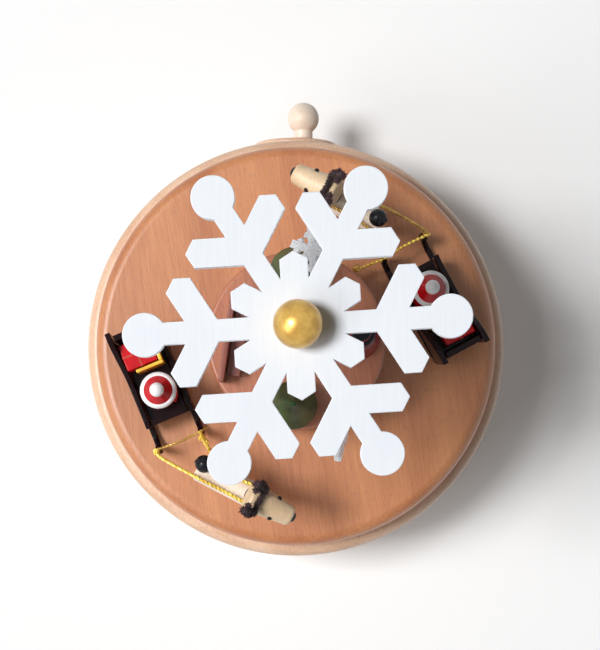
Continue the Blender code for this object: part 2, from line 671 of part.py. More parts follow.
def make_base():
    """The beech body, the bearing plate in its roof, its cover, the three screws and the felt."""
    bush_radius = SPINDLE_RADIUS + RUNNING_GAP + BUSH_WALL + SEAT_GAP
    flange_radius = BUSH_FLANGE_RADIUS + SEAT_GAP
    flange_floor = TURNTABLE_BOTTOM - SEAT_GAP - BUSH_FLANGE_THICKNESS - SEAT_GAP
    body = turned(
        "base_body",
        rounded(
            [
                (PLATE_RADIUS + SEAT_GAP, BASE_TOP),
                (BASE_RADIUS, BASE_TOP, BASE_TOP_EDGE),
                (BASE_RADIUS, BASE_BOTTOM, BASE_FOOT_EDGE),
                (RECESS_RADIUS, BASE_BOTTOM),
                (RECESS_RADIUS, COVER_TOP + SEAT_GAP),
                (CAVITY_RADIUS, COVER_TOP + SEAT_GAP),
                (CAVITY_RADIUS, CEILING),
                (PLATE_OPENING, CEILING),
                (PLATE_OPENING, PLATE_SEAT),
                (PLATE_RADIUS + SEAT_GAP, PLATE_SEAT),
            ]
        ),
        "beech",
        LARGE_STEPS,
    )
    turned(
        "bearing_plate",
        [
            (flange_radius, BASE_TOP),
            (PLATE_RADIUS, BASE_TOP),
            (PLATE_RADIUS, PLATE_BOTTOM),
            (bush_radius, PLATE_BOTTOM),
            (bush_radius, flange_floor),
            (flange_radius, flange_floor),
        ],
        "plywood",
        MEDIUM_STEPS,
    )
    recess = rod(
        "crank_recess_cutter",
        CRANK_RADIUS + CRANK_RECESS_MARGIN,
        (0.0, CRANK_RECESS_FLOOR, SHAFT_HEIGHT),
        (0.0, BASE_RADIUS + CRANK_RADIUS, SHAFT_HEIGHT),
        steps=MIDDLE_STEPS,
    )
    bore = rod(
        "crank_bore_cutter",
        SHAFT_RADIUS + RUNNING_GAP + BUSH_WALL + SEAT_GAP,
        (0.0, CAVITY_RADIUS - CRANK_RADIUS, SHAFT_HEIGHT),
        (0.0, CRANK_OUTER_FACE, SHAFT_HEIGHT),
    )
    cutters = [recess, bore]
    cover_cutters = []
    for index in range(COVER_SCREWS):
        place = polar(SCREW_CIRCLE, TURN * (index + 0.5) / COVER_SCREWS)
        cutters.append(
            rod(
                f"pilot_cutter_{index}",
                SCREW_SHANK_RADIUS + SEAT_GAP,
                (*place, BASE_BOTTOM),
                (*place, BASE_BOTTOM + SCREW_LENGTH + SEAT_GAP),
                steps=PIN_STEPS,
            )
        )
        cover_cutters.append(countersunk(f"screw_cutter_{index}", place, SEAT_GAP))
        countersunk(f"cover_screw_{index + 1}", place, 0.0, "steel")
    cut(body, *cutters)
    cover = turned(
        "bottom_cover",
        [
            (0.0, COVER_TOP),
            (RECESS_RADIUS - SEAT_GAP, COVER_TOP),
            (RECESS_RADIUS - SEAT_GAP, BASE_BOTTOM),
            (0.0, BASE_BOTTOM),
        ],
        "plywood",
        LARGE_STEPS,
    )
    cut(cover, *cover_cutters)
    felt_radius = SCREW_CIRCLE - SCREW_HEAD_RADIUS - FELT_MARGIN
    turned(
        "base_felt",
        [(0.0, FELT_THICKNESS), (felt_radius, FELT_THICKNESS), (felt_radius, 0.0), (0.0, 0.0)],
        "felt",
        LARGE_STEPS,
    )


def countersunk(name, place, extra, finish=None):
    """A countersunk screw from below, or with an extra gap all round the hole for it."""
    head, shank = SCREW_HEAD_RADIUS + extra, SCREW_SHANK_RADIUS + extra
    return turned(
        name,
        [
            (0.0, SCREW_LENGTH + extra),
            (shank, SCREW_LENGTH + extra),
            (shank, SCREW_HEAD_DEPTH + extra),
            (head, SCREW_HEAD_RIM + extra),
            (head, -extra),
            (0.0, -extra),
        ],
        finish,
        PIN_STEPS,
        place=(*place, BASE_BOTTOM),
    )


def make_bushes():
    """The flanged bush in the bearing plate, the bush in the back wall and the footstep under the spindle."""
    bore = SPINDLE_RADIUS + RUNNING_GAP
    flange_top = TURNTABLE_BOTTOM - SEAT_GAP
    turned(
        "spindle_bush",
        [
            (bore, flange_top),
            (BUSH_FLANGE_RADIUS, flange_top),
            (BUSH_FLANGE_RADIUS, flange_top - BUSH_FLANGE_THICKNESS),
            (bore + BUSH_WALL, flange_top - BUSH_FLANGE_THICKNESS),
            (bore + BUSH_WALL, PLATE_BOTTOM),
            (bore, PLATE_BOTTOM),
        ],
        "brass",
    )
    bore = SHAFT_RADIUS + RUNNING_GAP
    length = CRANK_RECESS_FLOOR - CAVITY_RADIUS
    turned(
        "crank_bush",
        [(bore, length), (bore + BUSH_WALL, length), (bore + BUSH_WALL, 0.0), (bore, 0.0)],
        "brass",
        SMALL_STEPS,
        place=(0.0, CAVITY_RADIUS, SHAFT_HEIGHT),
        turn=around_y(),
    )
    pivot_bore = PIVOT_RADIUS + RUNNING_GAP
    turned(
        "footstep_bearing",
        [
            (pivot_bore, FOOTSTEP_TOP),
            (FOOTSTEP_RADIUS, FOOTSTEP_TOP),
            (FOOTSTEP_RADIUS, FOOTSTEP_BOTTOM),
            (pivot_bore, FOOTSTEP_BOTTOM),
        ],
        "brass",
        SMALL_STEPS,
    )


def make_movement():
    """The frame with its three bearing tabs and the comb's boss, and the comb."""
    shaft_hole = SHAFT_RADIUS + RUNNING_GAP
    arbor_hole = ARBOR_RADIUS + RUNNING_GAP
    frame = block("movement_frame", (*FRAME_LOW, FRAME_BOTTOM), (*FRAME_HIGH, FRAME_TOP), "steel")
    inner_tab = FOOTSTEP_RADIUS + TAB_BACKSET
    outer_tab = FRAME_HIGH[1] - TAB_THICKNESS
    drum_tab = FRAME_LOW[1] + ARBOR_END
    foot = FRAME_BOTTOM + 0.5 * FRAME_THICKNESS
    shaft_rim = SHAFT_HEIGHT + shaft_hole + TAB_RIM
    arbor_rim = DRUM_HEIGHT + arbor_hole + TAB_RIM
    half = shaft_hole + TAB_RIM
    tabs = [
        block(
            "inner_tab",
            (-half, inner_tab, foot),
            (half, inner_tab + TAB_THICKNESS, shaft_rim),
        ),
        block(
            "outer_tab",
            (-half, outer_tab, foot),
            (DRUM_ASIDE + half, outer_tab + TAB_THICKNESS, shaft_rim),
        ),
        block(
            "drum_tab",
            (DRUM_ASIDE - half, drum_tab, foot),
            (DRUM_ASIDE + half, drum_tab + TAB_THICKNESS, arbor_rim),
        ),
    ]
    tip = DRUM_ASIDE + DRUM_RADIUS + COMB_TIP_GAP
    heel = tip + COMB_TOOTH_LENGTH
    comb_bottom = DRUM_HEIGHT - 0.5 * COMB_THICKNESS
    tabs.append(
        block(
            "comb_boss",
            (heel, DRUM_LOW_END, foot),
            (heel + COMB_HEEL, DRUM_HIGH_END, comb_bottom - SEAT_GAP),
        )
    )
    united(frame, *tabs)
    cut(
        frame,
        rod(
            "shaft_hole",
            shaft_hole,
            (0.0, inner_tab - TAB_THICKNESS, SHAFT_HEIGHT),
            (0.0, outer_tab + 2.0 * TAB_THICKNESS, SHAFT_HEIGHT),
            steps=ROD_STEPS,
        ),
        rod(
            "arbor_hole",
            arbor_hole,
            (DRUM_ASIDE, drum_tab - TAB_THICKNESS, DRUM_HEIGHT),
            (DRUM_ASIDE, outer_tab + 2.0 * TAB_THICKNESS, DRUM_HEIGHT),
            steps=ROD_STEPS,
        ),
    )
    pitch = (DRUM_HIGH_END - DRUM_LOW_END) / COMB_TEETH
    outline = [(heel + COMB_HEEL, DRUM_HIGH_END), (heel + COMB_HEEL, DRUM_LOW_END)]
    for tooth in range(COMB_TEETH):
        low = DRUM_LOW_END + tooth * pitch
        high = low + COMB_TOOTH_SHARE * pitch
        if tooth:
            outline.append((heel, low))
        outline += [(tip, low), (tip, high), (heel, high)]
    outline.append((heel, DRUM_HIGH_END))
    board("comb", [outline], COMB_THICKNESS, "steel", place=(0.0, 0.0, DRUM_HEIGHT))


def make_crank():
    """The crank disc, its shaft with two pinions, the grip's pin and the ball grip."""
    axis = empty("crank_axis", (0.0, 0.0, SHAFT_HEIGHT))
    shaft_end = CRANK_INNER_FACE + SHAFT_SOCKET
    start = (0.0, SPINDLE_RADIUS + SHAFT_BACKSET, 0.0)
    rod("crank_shaft", SHAFT_RADIUS, start, (0.0, shaft_end, 0.0), "steel", ROD_STEPS, parent=axis)
    bore = circle(SHAFT_RADIUS + SEAT_GAP, ROD_STEPS)
    upright = around_y(-0.25 * TURN)
    board(
        "crown_pinion",
        [gear_outline(PINION_TEETH, CROWN_MODULE), bore],
        CROWN_FACE,
        "brass",
        place=(0.0, CROWN_PITCH_RADIUS, 0.0),
        turn=upright,
        parent=axis,
    )
    mesh_turn = math.atan2(DRUM_DROP, DRUM_ASIDE)
    board(
        "drum_pinion",
        [gear_outline(PINION_TEETH, WHEEL_MODULE), bore],
        WHEEL_FACE,
        "brass",
        place=(0.0, WHEEL_PLACE, 0.0),
        turn=around_y(mesh_turn),
        parent=axis,
    )
    pin_x = GRIP_REACH * math.sin(GRIP_TURN)
    pin_z = GRIP_REACH * math.cos(GRIP_TURN)
    disc = turned(
        "crank_disc",
        rounded(
            [
                (0.0, CRANK_THICKNESS),
                (CRANK_RADIUS, CRANK_THICKNESS, CRANK_EDGE),
                (CRANK_RADIUS, 0.0, CRANK_EDGE),
                (0.0, 0.0),
            ],
            closed=False,
        ),
        "beech",
        DISC_STEPS,
        place=(0.0, CRANK_INNER_FACE, 0.0),
        turn=around_y(),
        parent=axis,
    )
    cut(
        disc,
        rod(
            "shaft_socket",
            SHAFT_RADIUS + SEAT_GAP,
            (0.0, CRANK_RECESS_FLOOR, 0.0),
            (0.0, shaft_end + SEAT_GAP, 0.0),
            steps=ROD_STEPS,
            parent=axis,
        ),
        rod(
            "pin_socket",
            GRIP_PIN_RADIUS + SEAT_GAP,
            (pin_x, CRANK_OUTER_FACE - SHAFT_SOCKET - SEAT_GAP, pin_z),
            (pin_x, CRANK_OUTER_FACE + SHAFT_SOCKET, pin_z),
            steps=ROD_STEPS,
            parent=axis,
        ),
    )
    neck_start = CRANK_OUTER_FACE + RUNNING_GAP
    pin_end = neck_start + GRIP_PIN_REACH
    rod(
        "grip_pin",
        GRIP_PIN_RADIUS,
        (pin_x, CRANK_OUTER_FACE - SHAFT_SOCKET, pin_z),
        (pin_x, pin_end, pin_z),
        "steel",
        ROD_STEPS,
        parent=axis,
    )
    grip_axis = empty("grip_axis", (pin_x, neck_start, pin_z), parent=axis)
    rise = math.sqrt(GRIP_BALL_RADIUS**2 - GRIP_NECK_RADIUS**2)
    ball_centre = GRIP_NECK_LENGTH + rise
    bore = GRIP_PIN_RADIUS + RUNNING_GAP
    bore_end = GRIP_PIN_REACH + RUNNING_GAP
    ball_start = -math.atan2(rise, GRIP_NECK_RADIUS)
    profile = arc((0.0, ball_centre), GRIP_BALL_RADIUS, 0.25 * TURN, ball_start, BALL_STEPS - 1)
    profile += [(GRIP_NECK_RADIUS, 0.0), (bore, 0.0), (bore, bore_end), (0.0, bore_end)]
    turned("grip_ball", profile, "pale_wood", FIGURE_STEPS, turn=around_y(), parent=grip_axis)


def make_drum():
    """The drum on its arbor with the wheel that the drum pinion turns."""
    axis = empty("drum_axis", (DRUM_ASIDE, 0.0, DRUM_HEIGHT))
    length = DRUM_HIGH_END - DRUM_LOW_END
    hole = ARBOR_RADIUS + SEAT_GAP
    turned(
        "drum",
        [(hole, length), (DRUM_RADIUS, length), (DRUM_RADIUS, 0.0), (hole, 0.0)],
        "brass",
        place=(0.0, DRUM_LOW_END, 0.0),
        turn=around_y(),
        parent=axis,
    )
    rod(
        "drum_arbor",
        ARBOR_RADIUS,
        (0.0, FRAME_LOW[1], 0.0),
        (0.0, WHEEL_PLACE + 0.5 * WHEEL_FACE + ARBOR_END, 0.0),
        "steel",
        ROD_STEPS,
        parent=axis,
    )
    # The wheel shows the pinion a gap, half a tooth away from one of its own teeth.
    toward_pinion = 0.5 * TURN + math.atan2(DRUM_DROP, DRUM_ASIDE)
    board(
        "drum_wheel",
        [gear_outline(WHEEL_TEETH, WHEEL_MODULE), circle(hole, ROD_STEPS)],
        WHEEL_FACE,
        "brass",
        place=(0.0, WHEEL_PLACE, 0.0),
        turn=around_y(toward_pinion + 0.5 * TURN / WHEEL_TEETH),
        parent=axis,
    )


def make_crown_gear(axis):
    """The crown gear: a plate with teeth raised from the outer band of its underside."""
    inner = CROWN_PITCH_RADIUS - 0.5 * CROWN_FACE
    bore = SPINDLE_RADIUS + SEAT_GAP
    gear = turned(
        "crown_gear",
        [
            (bore, CROWN_HUB_TOP),
            (CROWN_HUB_RADIUS, CROWN_HUB_TOP),
            (CROWN_HUB_RADIUS, CROWN_TOP),
            (CROWN_RADIUS, CROWN_TOP),
            (CROWN_RADIUS, CROWN_BOTTOM),
            (inner, CROWN_BOTTOM),
            (bore, CROWN_BOTTOM),
        ],
        "brass",
        2 * CROWN_TEETH,
        parent=axis,
    )
    solid = bmesh.new()
    solid.from_mesh(gear.data)
    # Every other face of the band becomes a tooth. The bands are turned so that a gap faces the pinion.
    step = TURN / (2 * CROWN_TEETH)
    bmesh.ops.rotate(solid, matrix=Matrix.Rotation(0.5 * step, 3, "Z"), verts=solid.verts)
    band = []
    for face in solid.faces:
        middle = face.calc_center_median()
        if face.normal.z > -0.9 or middle.xy.length < inner:
            continue
        if round(math.atan2(middle.y, middle.x) / step) % 2 == 1:
            band.append(face)
    raised = bmesh.ops.extrude_discrete_faces(solid, faces=band)["faces"]
    height = (ADDENDUM + DEDENDUM) * CROWN_MODULE
    narrowing = TOOTH_TIP_SHARE / TOOTH_ROOT_SHARE
    for face in raised:
        middle = face.calc_center_median()
        angle = math.atan2(middle.y, middle.x)
        for vertex in face.verts:
            across = (math.atan2(vertex.co.y, vertex.co.x) - angle + math.pi) % TURN - math.pi
            spot = polar(vertex.co.xy.length, angle + narrowing * across)
            vertex.co = (*spot, vertex.co.z - height)
    solid.to_mesh(gear.data)
    solid.free()


def make_carousel():
    """The spindle with its crown gear, the turntable, the pedestal, the pole, the snowflake and the ball."""
    axis = empty("carousel_axis")
    spindle_bottom = FOOTSTEP_BOTTOM + SEAT_GAP
    shoulder = FOOTSTEP_TOP + RUNNING_GAP
    spindle_top = STAND + SPINDLE_GRIP
    turned(
        "spindle",
        [
            (0.0, spindle_top),
            (SPINDLE_RADIUS, spindle_top),
            (SPINDLE_RADIUS, shoulder),
            (PIVOT_RADIUS, shoulder),
            (PIVOT_RADIUS, spindle_bottom),
            (0.0, spindle_bottom),
        ],
        "steel",
        SMALL_STEPS,
        parent=axis,
    )
    make_crown_gear(axis)
    bore = SPINDLE_RADIUS + SEAT_GAP
    turned(
        "turntable",
        rounded(
            [
                (bore, TURNTABLE_TOP),
                (TURNTABLE_RADIUS, TURNTABLE_TOP, TURNTABLE_TOP_EDGE),
                (TURNTABLE_RADIUS, TURNTABLE_BOTTOM, TURNTABLE_LOWER_EDGE),
                (bore, TURNTABLE_BOTTOM),
            ]
        ),
        "warm_beech",
        LARGE_STEPS,
        parent=axis,
    )
    pole_bottom = spindle_top + SEAT_GAP
    pole_top = pole_bottom + POLE_LENGTH
    turned(
        "pedestal",
        rounded(
            [
                (POLE_HOLE, PEDESTAL_TOP),
                (PEDESTAL_RADIUS, PEDESTAL_TOP, PEDESTAL_EDGE),
                (PEDESTAL_RADIUS, STAND),
                (bore, STAND),
                (bore, pole_bottom),
                (POLE_HOLE, pole_bottom),
            ]
        ),
        "warm_beech",
        MEDIUM_STEPS,
        parent=axis,
    )
    start, end = (0.0, 0.0, pole_bottom), (0.0, 0.0, pole_top)
    rod("pole", POLE_RADIUS, start, end, "white_paint", ROD_STEPS, parent=axis)
    board(
        "snowflake",
        [star(large_flake_half(), FLAKE_TURN), circle(POLE_HOLE, ROD_STEPS)],
        FLAKE_THICKNESS,
        "white_paint",
        place=(0.0, 0.0, FLAKE_BOTTOM + 0.5 * FLAKE_THICKNESS),
        parent=axis,
    )
    flat_angle = -math.acos(BALL_SEAT_RADIUS / BALL_RADIUS)
    profile = arc((0.0, BALL_CENTRE), BALL_RADIUS, 0.25 * TURN, flat_angle, BALL_STEPS)
    profile += [(POLE_HOLE, profile[-1][1]), (POLE_HOLE, pole_top + SEAT_GAP), (0.0, pole_top + SEAT_GAP)]
    turned("gold_ball", profile, "gold", parent=axis)
    return axis


def make_hanging_flakes(axis):
    """The two small snowflakes, each held by one arm on a stiff wire from the large one's underside."""
    for index, (reach, direction, length, turn, lean) in enumerate(HANGING, start=1):
        top = FLAKE_BOTTOM - SEAT_GAP
        spot = empty(f"hanger_place_{index}", (*polar(reach, direction), top), parent=axis)
        low, high = (0.0, 0.0, -length), (0.0, 0.0, 0.0)
        rod(f"hanger_{index}", HANGER_RADIUS, low, high, "white_paint", WIRE_STEPS, parent=spot)
        along = polar(SMALL_FLAKE_RADIUS, turn + 0.25 * TURN) * -math.sin(lean)
        drop = SMALL_FLAKE_RADIUS * math.cos(lean) + 0.5 * SMALL_FLAKE_THICKNESS * math.sin(lean)
        board(
            f"small_snowflake_{index}",
            [star(small_flake_half(), 0.25 * TURN)],
            SMALL_FLAKE_THICKNESS,
            "white_paint",
            place=(*along, -length - SEAT_GAP - drop),
            turn=(0.25 * TURN - lean, 0.0, turn),
            parent=spot,
        )


def make_trees(axis):
    """Two turned trees, each trunk and crown in one piece."""
    for name, (reach, direction) in TREE_PLACES.items():
        turned(
            name,
            rounded(
                [
                    (0.0, TREE_HEIGHT),
                    (TREE_TIP_RADIUS, TREE_HEIGHT),
                    (TREE_RADIUS, TREE_TRUNK_HEIGHT, TREE_EDGE),
                    (TREE_TRUNK_RADIUS, TREE_TRUNK_HEIGHT),
                    (TREE_TRUNK_RADIUS, 0.0),
                    (0.0, 0.0),
                ],
                closed=False,
            ),
            "green_paint",
            FIGURE_STEPS,
            place=(*polar(reach, direction), PERCH),
            parent=axis,
        )


def make_bench(axis):
    """The bench's tall back board, and its seat with two legs bent from one outline."""
    reach, direction = BENCH_PLACE
    spot = empty("bench_place", (*polar(reach, direction), PERCH), BENCH_TURN, axis)
    half = 0.5 * BENCH_BACK_LENGTH
    block(
        "bench_back",
        (-0.5 * BENCH_BOARD, -half, 0.0),
        (0.5 * BENCH_BOARD, half, BENCH_BACK_HEIGHT),
        "red_brown",
        BENCH_EDGE,
        parent=spot,
    )
    half = 0.5 * BENCH_SEAT_LENGTH
    inside = half - BENCH_BOARD
    outline = [
        (-half, 0.0),
        (-inside, 0.0),
        (-inside, BENCH_SEAT_HEIGHT - BENCH_BOARD),
        (inside, BENCH_SEAT_HEIGHT - BENCH_BOARD),
        (inside, 0.0),
        (half, 0.0),
        (half, BENCH_SEAT_HEIGHT),
        (-half, BENCH_SEAT_HEIGHT),
    ]
    board(
        "bench_seat",
        [outline],
        BENCH_SEAT_DEPTH,
        "red_brown",
        place=(0.5 * BENCH_BOARD + SEAT_GAP + 0.5 * BENCH_SEAT_DEPTH, 0.0, 0.0),
        turn=(0.25 * TURN, 0.0, 0.25 * TURN),
        parent=spot,
    )


def make_figure(name, coat_radius, height, head_radius, finish, steps, **where):
    """A turned figure in one piece: a coat that narrows to the neck, and a head with a flat crown."""
    head_centre = height - HEAD_CROWN * head_radius
    neck = head_centre - HEAD_NECK * head_radius
    head = arc((0.0, head_centre), head_radius, math.asin(HEAD_CROWN), -math.asin(HEAD_NECK), CURL_STEPS - 1)
    shoulder = (SHOULDER_WIDTH * coat_radius, SHOULDER_LEVEL * neck, SHOULDER_EDGE)
    profile = [(0.0, height), *head, *rounded([head[-1], shoulder, (coat_radius, 0.0)], closed=False)[1:]]
    profile.append((0.0, 0.0))
    return turned(name, profile, finish, steps, **where)


def make_guest(axis):
    """The standing guest in a dark red coat, with a separate black hat."""
    reach, direction = GUEST_PLACE
    x, y = polar(reach, direction)
    make_figure(
        "guest",
        GUEST_COAT_RADIUS,
        GUEST_HEIGHT,
        GUEST_HEAD_RADIUS,
        "maroon_paint",
        FIGURE_STEPS,
        place=(x, y, PERCH),
        parent=axis,
    )
    turned(
        "guest_hat",
        rounded(
            [
                (0.0, GUEST_HAT_HEIGHT),
                (GUEST_HAT_CROWN_RADIUS, GUEST_HAT_HEIGHT, GUEST_HAT_EDGE),
                (GUEST_HAT_CROWN_RADIUS, GUEST_HAT_BRIM),
                (GUEST_HAT_RADIUS, GUEST_HAT_BRIM),
                (GUEST_HAT_RADIUS, 0.0),
                (0.0, 0.0),
            ],
            closed=False,
        ),
        "black_paint",
        FIGURE_STEPS,
        place=(x, y, PERCH + GUEST_HEIGHT + SEAT_GAP),
        parent=axis,
    )


def sleigh_side_outlines():
    """The side board's outline with its runner, and the two gaps between the runner and the panel."""
    floor, front = SLEIGH_FLOOR_HEIGHT, SLEIGH_BOX_FRONT
    heel, toe = -SLEIGH_REAR + STRUT, front - STRUT
    curl = (SLEIGH_FRONT - RUNNER_CURL, RUNNER_CURL)
    outline = [(heel, 0.0)]
    outline += arc(curl, RUNNER_CURL, -0.25 * TURN, RUNNER_TIP_TURN, CURL_STEPS)
    outline += arc(curl, RUNNER_CURL - RUNNER_THICKNESS, RUNNER_TIP_TURN, -0.25 * TURN, CURL_STEPS - 1)
    nose = front + SLEIGH_NOSE
    outline += [(toe, RUNNER_THICKNESS), (toe, floor)]
    outline += [(nose, floor + SLEIGH_NOSE), (nose, SLEIGH_FRONT_HEIGHT)]
    # The top edge slopes down, runs level beside the rider, then sweeps up to the rear.
    level = SLEIGH_FRONT_HEIGHT - SLEIGH_LEVEL_DROP
    shoulder = nose - SLEIGH_SHOULDER
    for step in range(SWEEP_STEPS + 1):
        share = step / SWEEP_STEPS
        risen = max(0.0, (share - SLEIGH_SWEEP_START) / (1.0 - SLEIGH_SWEEP_START))
        height = level + (SLEIGH_REAR_HEIGHT - level) * 0.5 * (1.0 - math.cos(math.pi * risen))
        outline.append((shoulder + share * (heel - shoulder), height))
    outline += [(-SLEIGH_REAR, SLEIGH_REAR_HEIGHT), (-SLEIGH_REAR + SLEIGH_REAR_RAKE, floor)]
    first, last = heel + STRUT, toe - STRUT
    middle = 0.5 * (first + last)
    gaps = [(first, middle - 0.5 * STRUT), (middle + 0.5 * STRUT, last)]
    low, high = RUNNER_THICKNESS, floor
    return [outline, *[[(a, low), (b, low), (b, high), (a, high)] for a, b in gaps]]


def make_sleigh(axis, number, reach, direction, heading):
    """One sleigh: two side boards, the bent seat board, the gift, the rider and the hat."""
    spot = empty(f"sleigh_place_{number}", (*polar(reach, direction), STAND), heading, axis)
    outlines = sleigh_side_outlines()
    upright = (0.25 * TURN, 0.0, 0.0)
    for side, sign in (("inner", 1.0), ("outer", -1.0)):
        board(
            f"sleigh_{number}_{side}_side",
            outlines,
            SLEIGH_BOARD,
            "maroon_paint",
            place=(0.0, sign * 0.5 * (SLEIGH_WIDTH - SLEIGH_BOARD), 0.0),
            turn=upright,
            parent=spot,
        )
    # The seat board rises at the rear as the back and at the front as the dash.
    rear, front, floor = -SLEIGH_REAR + SEAT_INSET, SLEIGH_BOX_FRONT, SLEIGH_FLOOR_HEIGHT + SEAT_GAP
    back_top, dash_top = SLEIGH_REAR_HEIGHT - SEAT_BACK_DROP, SLEIGH_FRONT_HEIGHT - DASH_DROP
    outline = [
        (rear, back_top),
        (rear + SEAT_RAKE, floor),
        (front, floor),
        (front, dash_top),
        (front - SLEIGH_BOARD, dash_top),
        (front - SLEIGH_BOARD, SEAT_TOP),
        (rear + SEAT_RAKE + SLEIGH_BOARD, SEAT_TOP),
        (rear + SLEIGH_BOARD, back_top),
    ]
    board(
        f"sleigh_{number}_seat",
        [outline],
        2.0 * (SLEIGH_INNER - SEAT_GAP),
        "maroon_paint",
        turn=upright,
        parent=spot,
    )
    depth, width, height = GIFT_SIZE
    gift_y = 0.5 * width - SLEIGH_INNER + SEAT_GAP
    seat = SEAT_TOP + SEAT_GAP
    block(
        f"gift_{number}",
        (-GIFT_BEHIND - 0.5 * depth, gift_y - 0.5 * width, seat),
        (-GIFT_BEHIND + 0.5 * depth, gift_y + 0.5 * width, seat + height),
        "red_paint",
        GIFT_EDGE,
        parent=spot,
    )
    make_figure(
        f"rider_{number}",
        RIDER_COAT_RADIUS,
        RIDER_HEIGHT,
        RIDER_HEAD_RADIUS,
        "red_paint",
        SMALL_STEPS,
        place=(0.0, RIDER_ASIDE, seat),
        parent=spot,
    )
    ball_centre = HAT_BRIM_HEIGHT + HAT_CONE_HEIGHT + 0.5 * HAT_BALL_RADIUS
    half_brim = 0.5 * HAT_BRIM_HEIGHT
    profile = arc((0.0, ball_centre), HAT_BALL_RADIUS, 0.25 * TURN, -HAT_BALL_UNDERCUT, CURL_STEPS + 1)
    brim_middle = (HAT_BRIM_RADIUS - half_brim, half_brim)
    profile += arc(brim_middle, half_brim, 0.25 * TURN, -0.25 * TURN, CURL_STEPS)
    profile.append((0.0, 0.0))
    turned(
        f"rider_{number}_hat",
        profile,
        "red_paint",
        SMALL_STEPS,
        place=(0.0, RIDER_ASIDE, seat + RIDER_HEIGHT + SEAT_GAP),
        parent=spot,
    )
    return spot


def in_plane(point):
    """A figure's (forward, up) pair as a point of its own frame."""
    return (point[0], 0.0, point[1])


def antler_outline():
    """Two flat antlers on one bar, seen from the front: (across, up) points above the top of the head."""
    shares = [
        (0.0, 0.16),
        (0.36, 0.16),
        (0.42, 0.5),
        (0.3, 0.78),
        (0.46, 0.86),
        (0.6, 0.66),
        (0.68, 1.0),
        (0.86, 1.0),
        (0.82, 0.62),
        (1.0, 0.5),
        (0.94, 0.32),
        (0.78, 0.3),
        (0.7, -0.3),
    ]
    half = [(0.5 * ANTLER_SPAN * across, ANTLER_HEIGHT * up) for across, up in shares]
    return half + [(-x, y) for x, y in reversed(half[1:])]


def make_reindeer(axis, number, reach, direction, heading, tail):
    """One reindeer: body with four legs, head with its neck, antlers and a ball tail."""
    spot = empty(f"reindeer_place_{number}", (*polar(reach, direction), STAND), heading, axis)
    half = 0.5 * BODY_LENGTH
    lying = (0.0, 0.25 * TURN, 0.0)
    body = turned(
        f"reindeer_{number}_body",
        rounded(
            [(0.0, half), (BODY_RADIUS, half, BODY_EDGE), (BODY_RADIUS, -half, BODY_EDGE), (0.0, -half)],
            closed=False,
        ),
        "pale_wood",
        SMALL_STEPS,
        place=(0.0, 0.0, BODY_HEIGHT),
        turn=lying,
        parent=spot,
    )
    legs = []
    for leg, (along, across) in enumerate(((1, 1), (1, -1), (-1, 1), (-1, -1))):
        foot = (along * LEG_REACH, across * LEG_SPREAD)
        ends = (*foot, 0.0), (*foot, BODY_HEIGHT)
        legs.append(rod(f"leg_{number}_{leg}", LEG_RADIUS, *ends, steps=PIN_STEPS, parent=spot))
    united(body, *legs)
    foot, top = Vector(in_plane(NECK_FOOT)), Vector(in_plane(NECK_TOP))
    cut(
        body,
        rod(
            f"neck_socket_{number}",
            NECK_RADIUS + SEAT_GAP,
            foot - (top - foot).normalized() * SEAT_GAP,
            top,
            steps=ROD_STEPS,
            parent=spot,
        ),
    )
    back, muzzle = Vector(in_plane(HEAD_BACK)), Vector(in_plane(HEAD_MUZZLE))
    length = (muzzle - back).length
    lean = math.atan2(back.z - muzzle.z, muzzle.x - back.x)
    head = turned(
        f"reindeer_{number}_head",
        rounded(
            [
                (0.0, length),
                (HEAD_MUZZLE_RADIUS, length, HEAD_EDGE),
                (HEAD_BACK_RADIUS, 0.0, HEAD_EDGE),
                (0.0, 0.0),
            ],
            closed=False,
        ),
        "pale_wood",
        SMALL_STEPS,
        place=back,
        turn=(0.0, 0.25 * TURN + lean, 0.0),
        parent=spot,
    )
    united(head, rod(f"neck_{number}", NECK_RADIUS, foot, top, steps=ROD_STEPS, parent=spot))
    crown = back.lerp(muzzle, 1.0 - ANTLER_BEHIND / length)
    crown.z += HEAD_BACK_RADIUS
    lean_turn = Matrix.Rotation(-ANTLER_LEAN, 3, "Y")
    lean_turn @= Matrix.Rotation(0.25 * TURN, 3, "Z") @ Matrix.Rotation(0.25 * TURN, 3, "X")
    antlers = board(
        f"reindeer_{number}_antlers",
        [antler_outline()],
        ANTLER_THICKNESS,
        "antler_brown",
        place=crown,
        turn=lean_turn.to_euler(),
        parent=spot,
    )
    cut(
        antlers,
        rod(
            f"head_cutter_{number}",
            HEAD_BACK_RADIUS + SEAT_GAP,
            back,
            muzzle,
            steps=SMALL_STEPS,
            end_radius=HEAD_MUZZLE_RADIUS + SEAT_GAP,
            parent=spot,
        ),
    )
    tail_reach = BODY_RADIUS + SEAT_GAP + TAIL_RADIUS
    turned(
        f"reindeer_{number}_tail",
        arc((0.0, 0.0), TAIL_RADIUS, 0.25 * TURN, -0.25 * TURN, BALL_STEPS - 1),
        "black_paint",
        SMALL_STEPS,
        place=(-tail[0], tail[1], BODY_HEIGHT + math.sqrt(tail_reach**2 - tail[1] ** 2)),
        parent=spot,
    )
    return spot


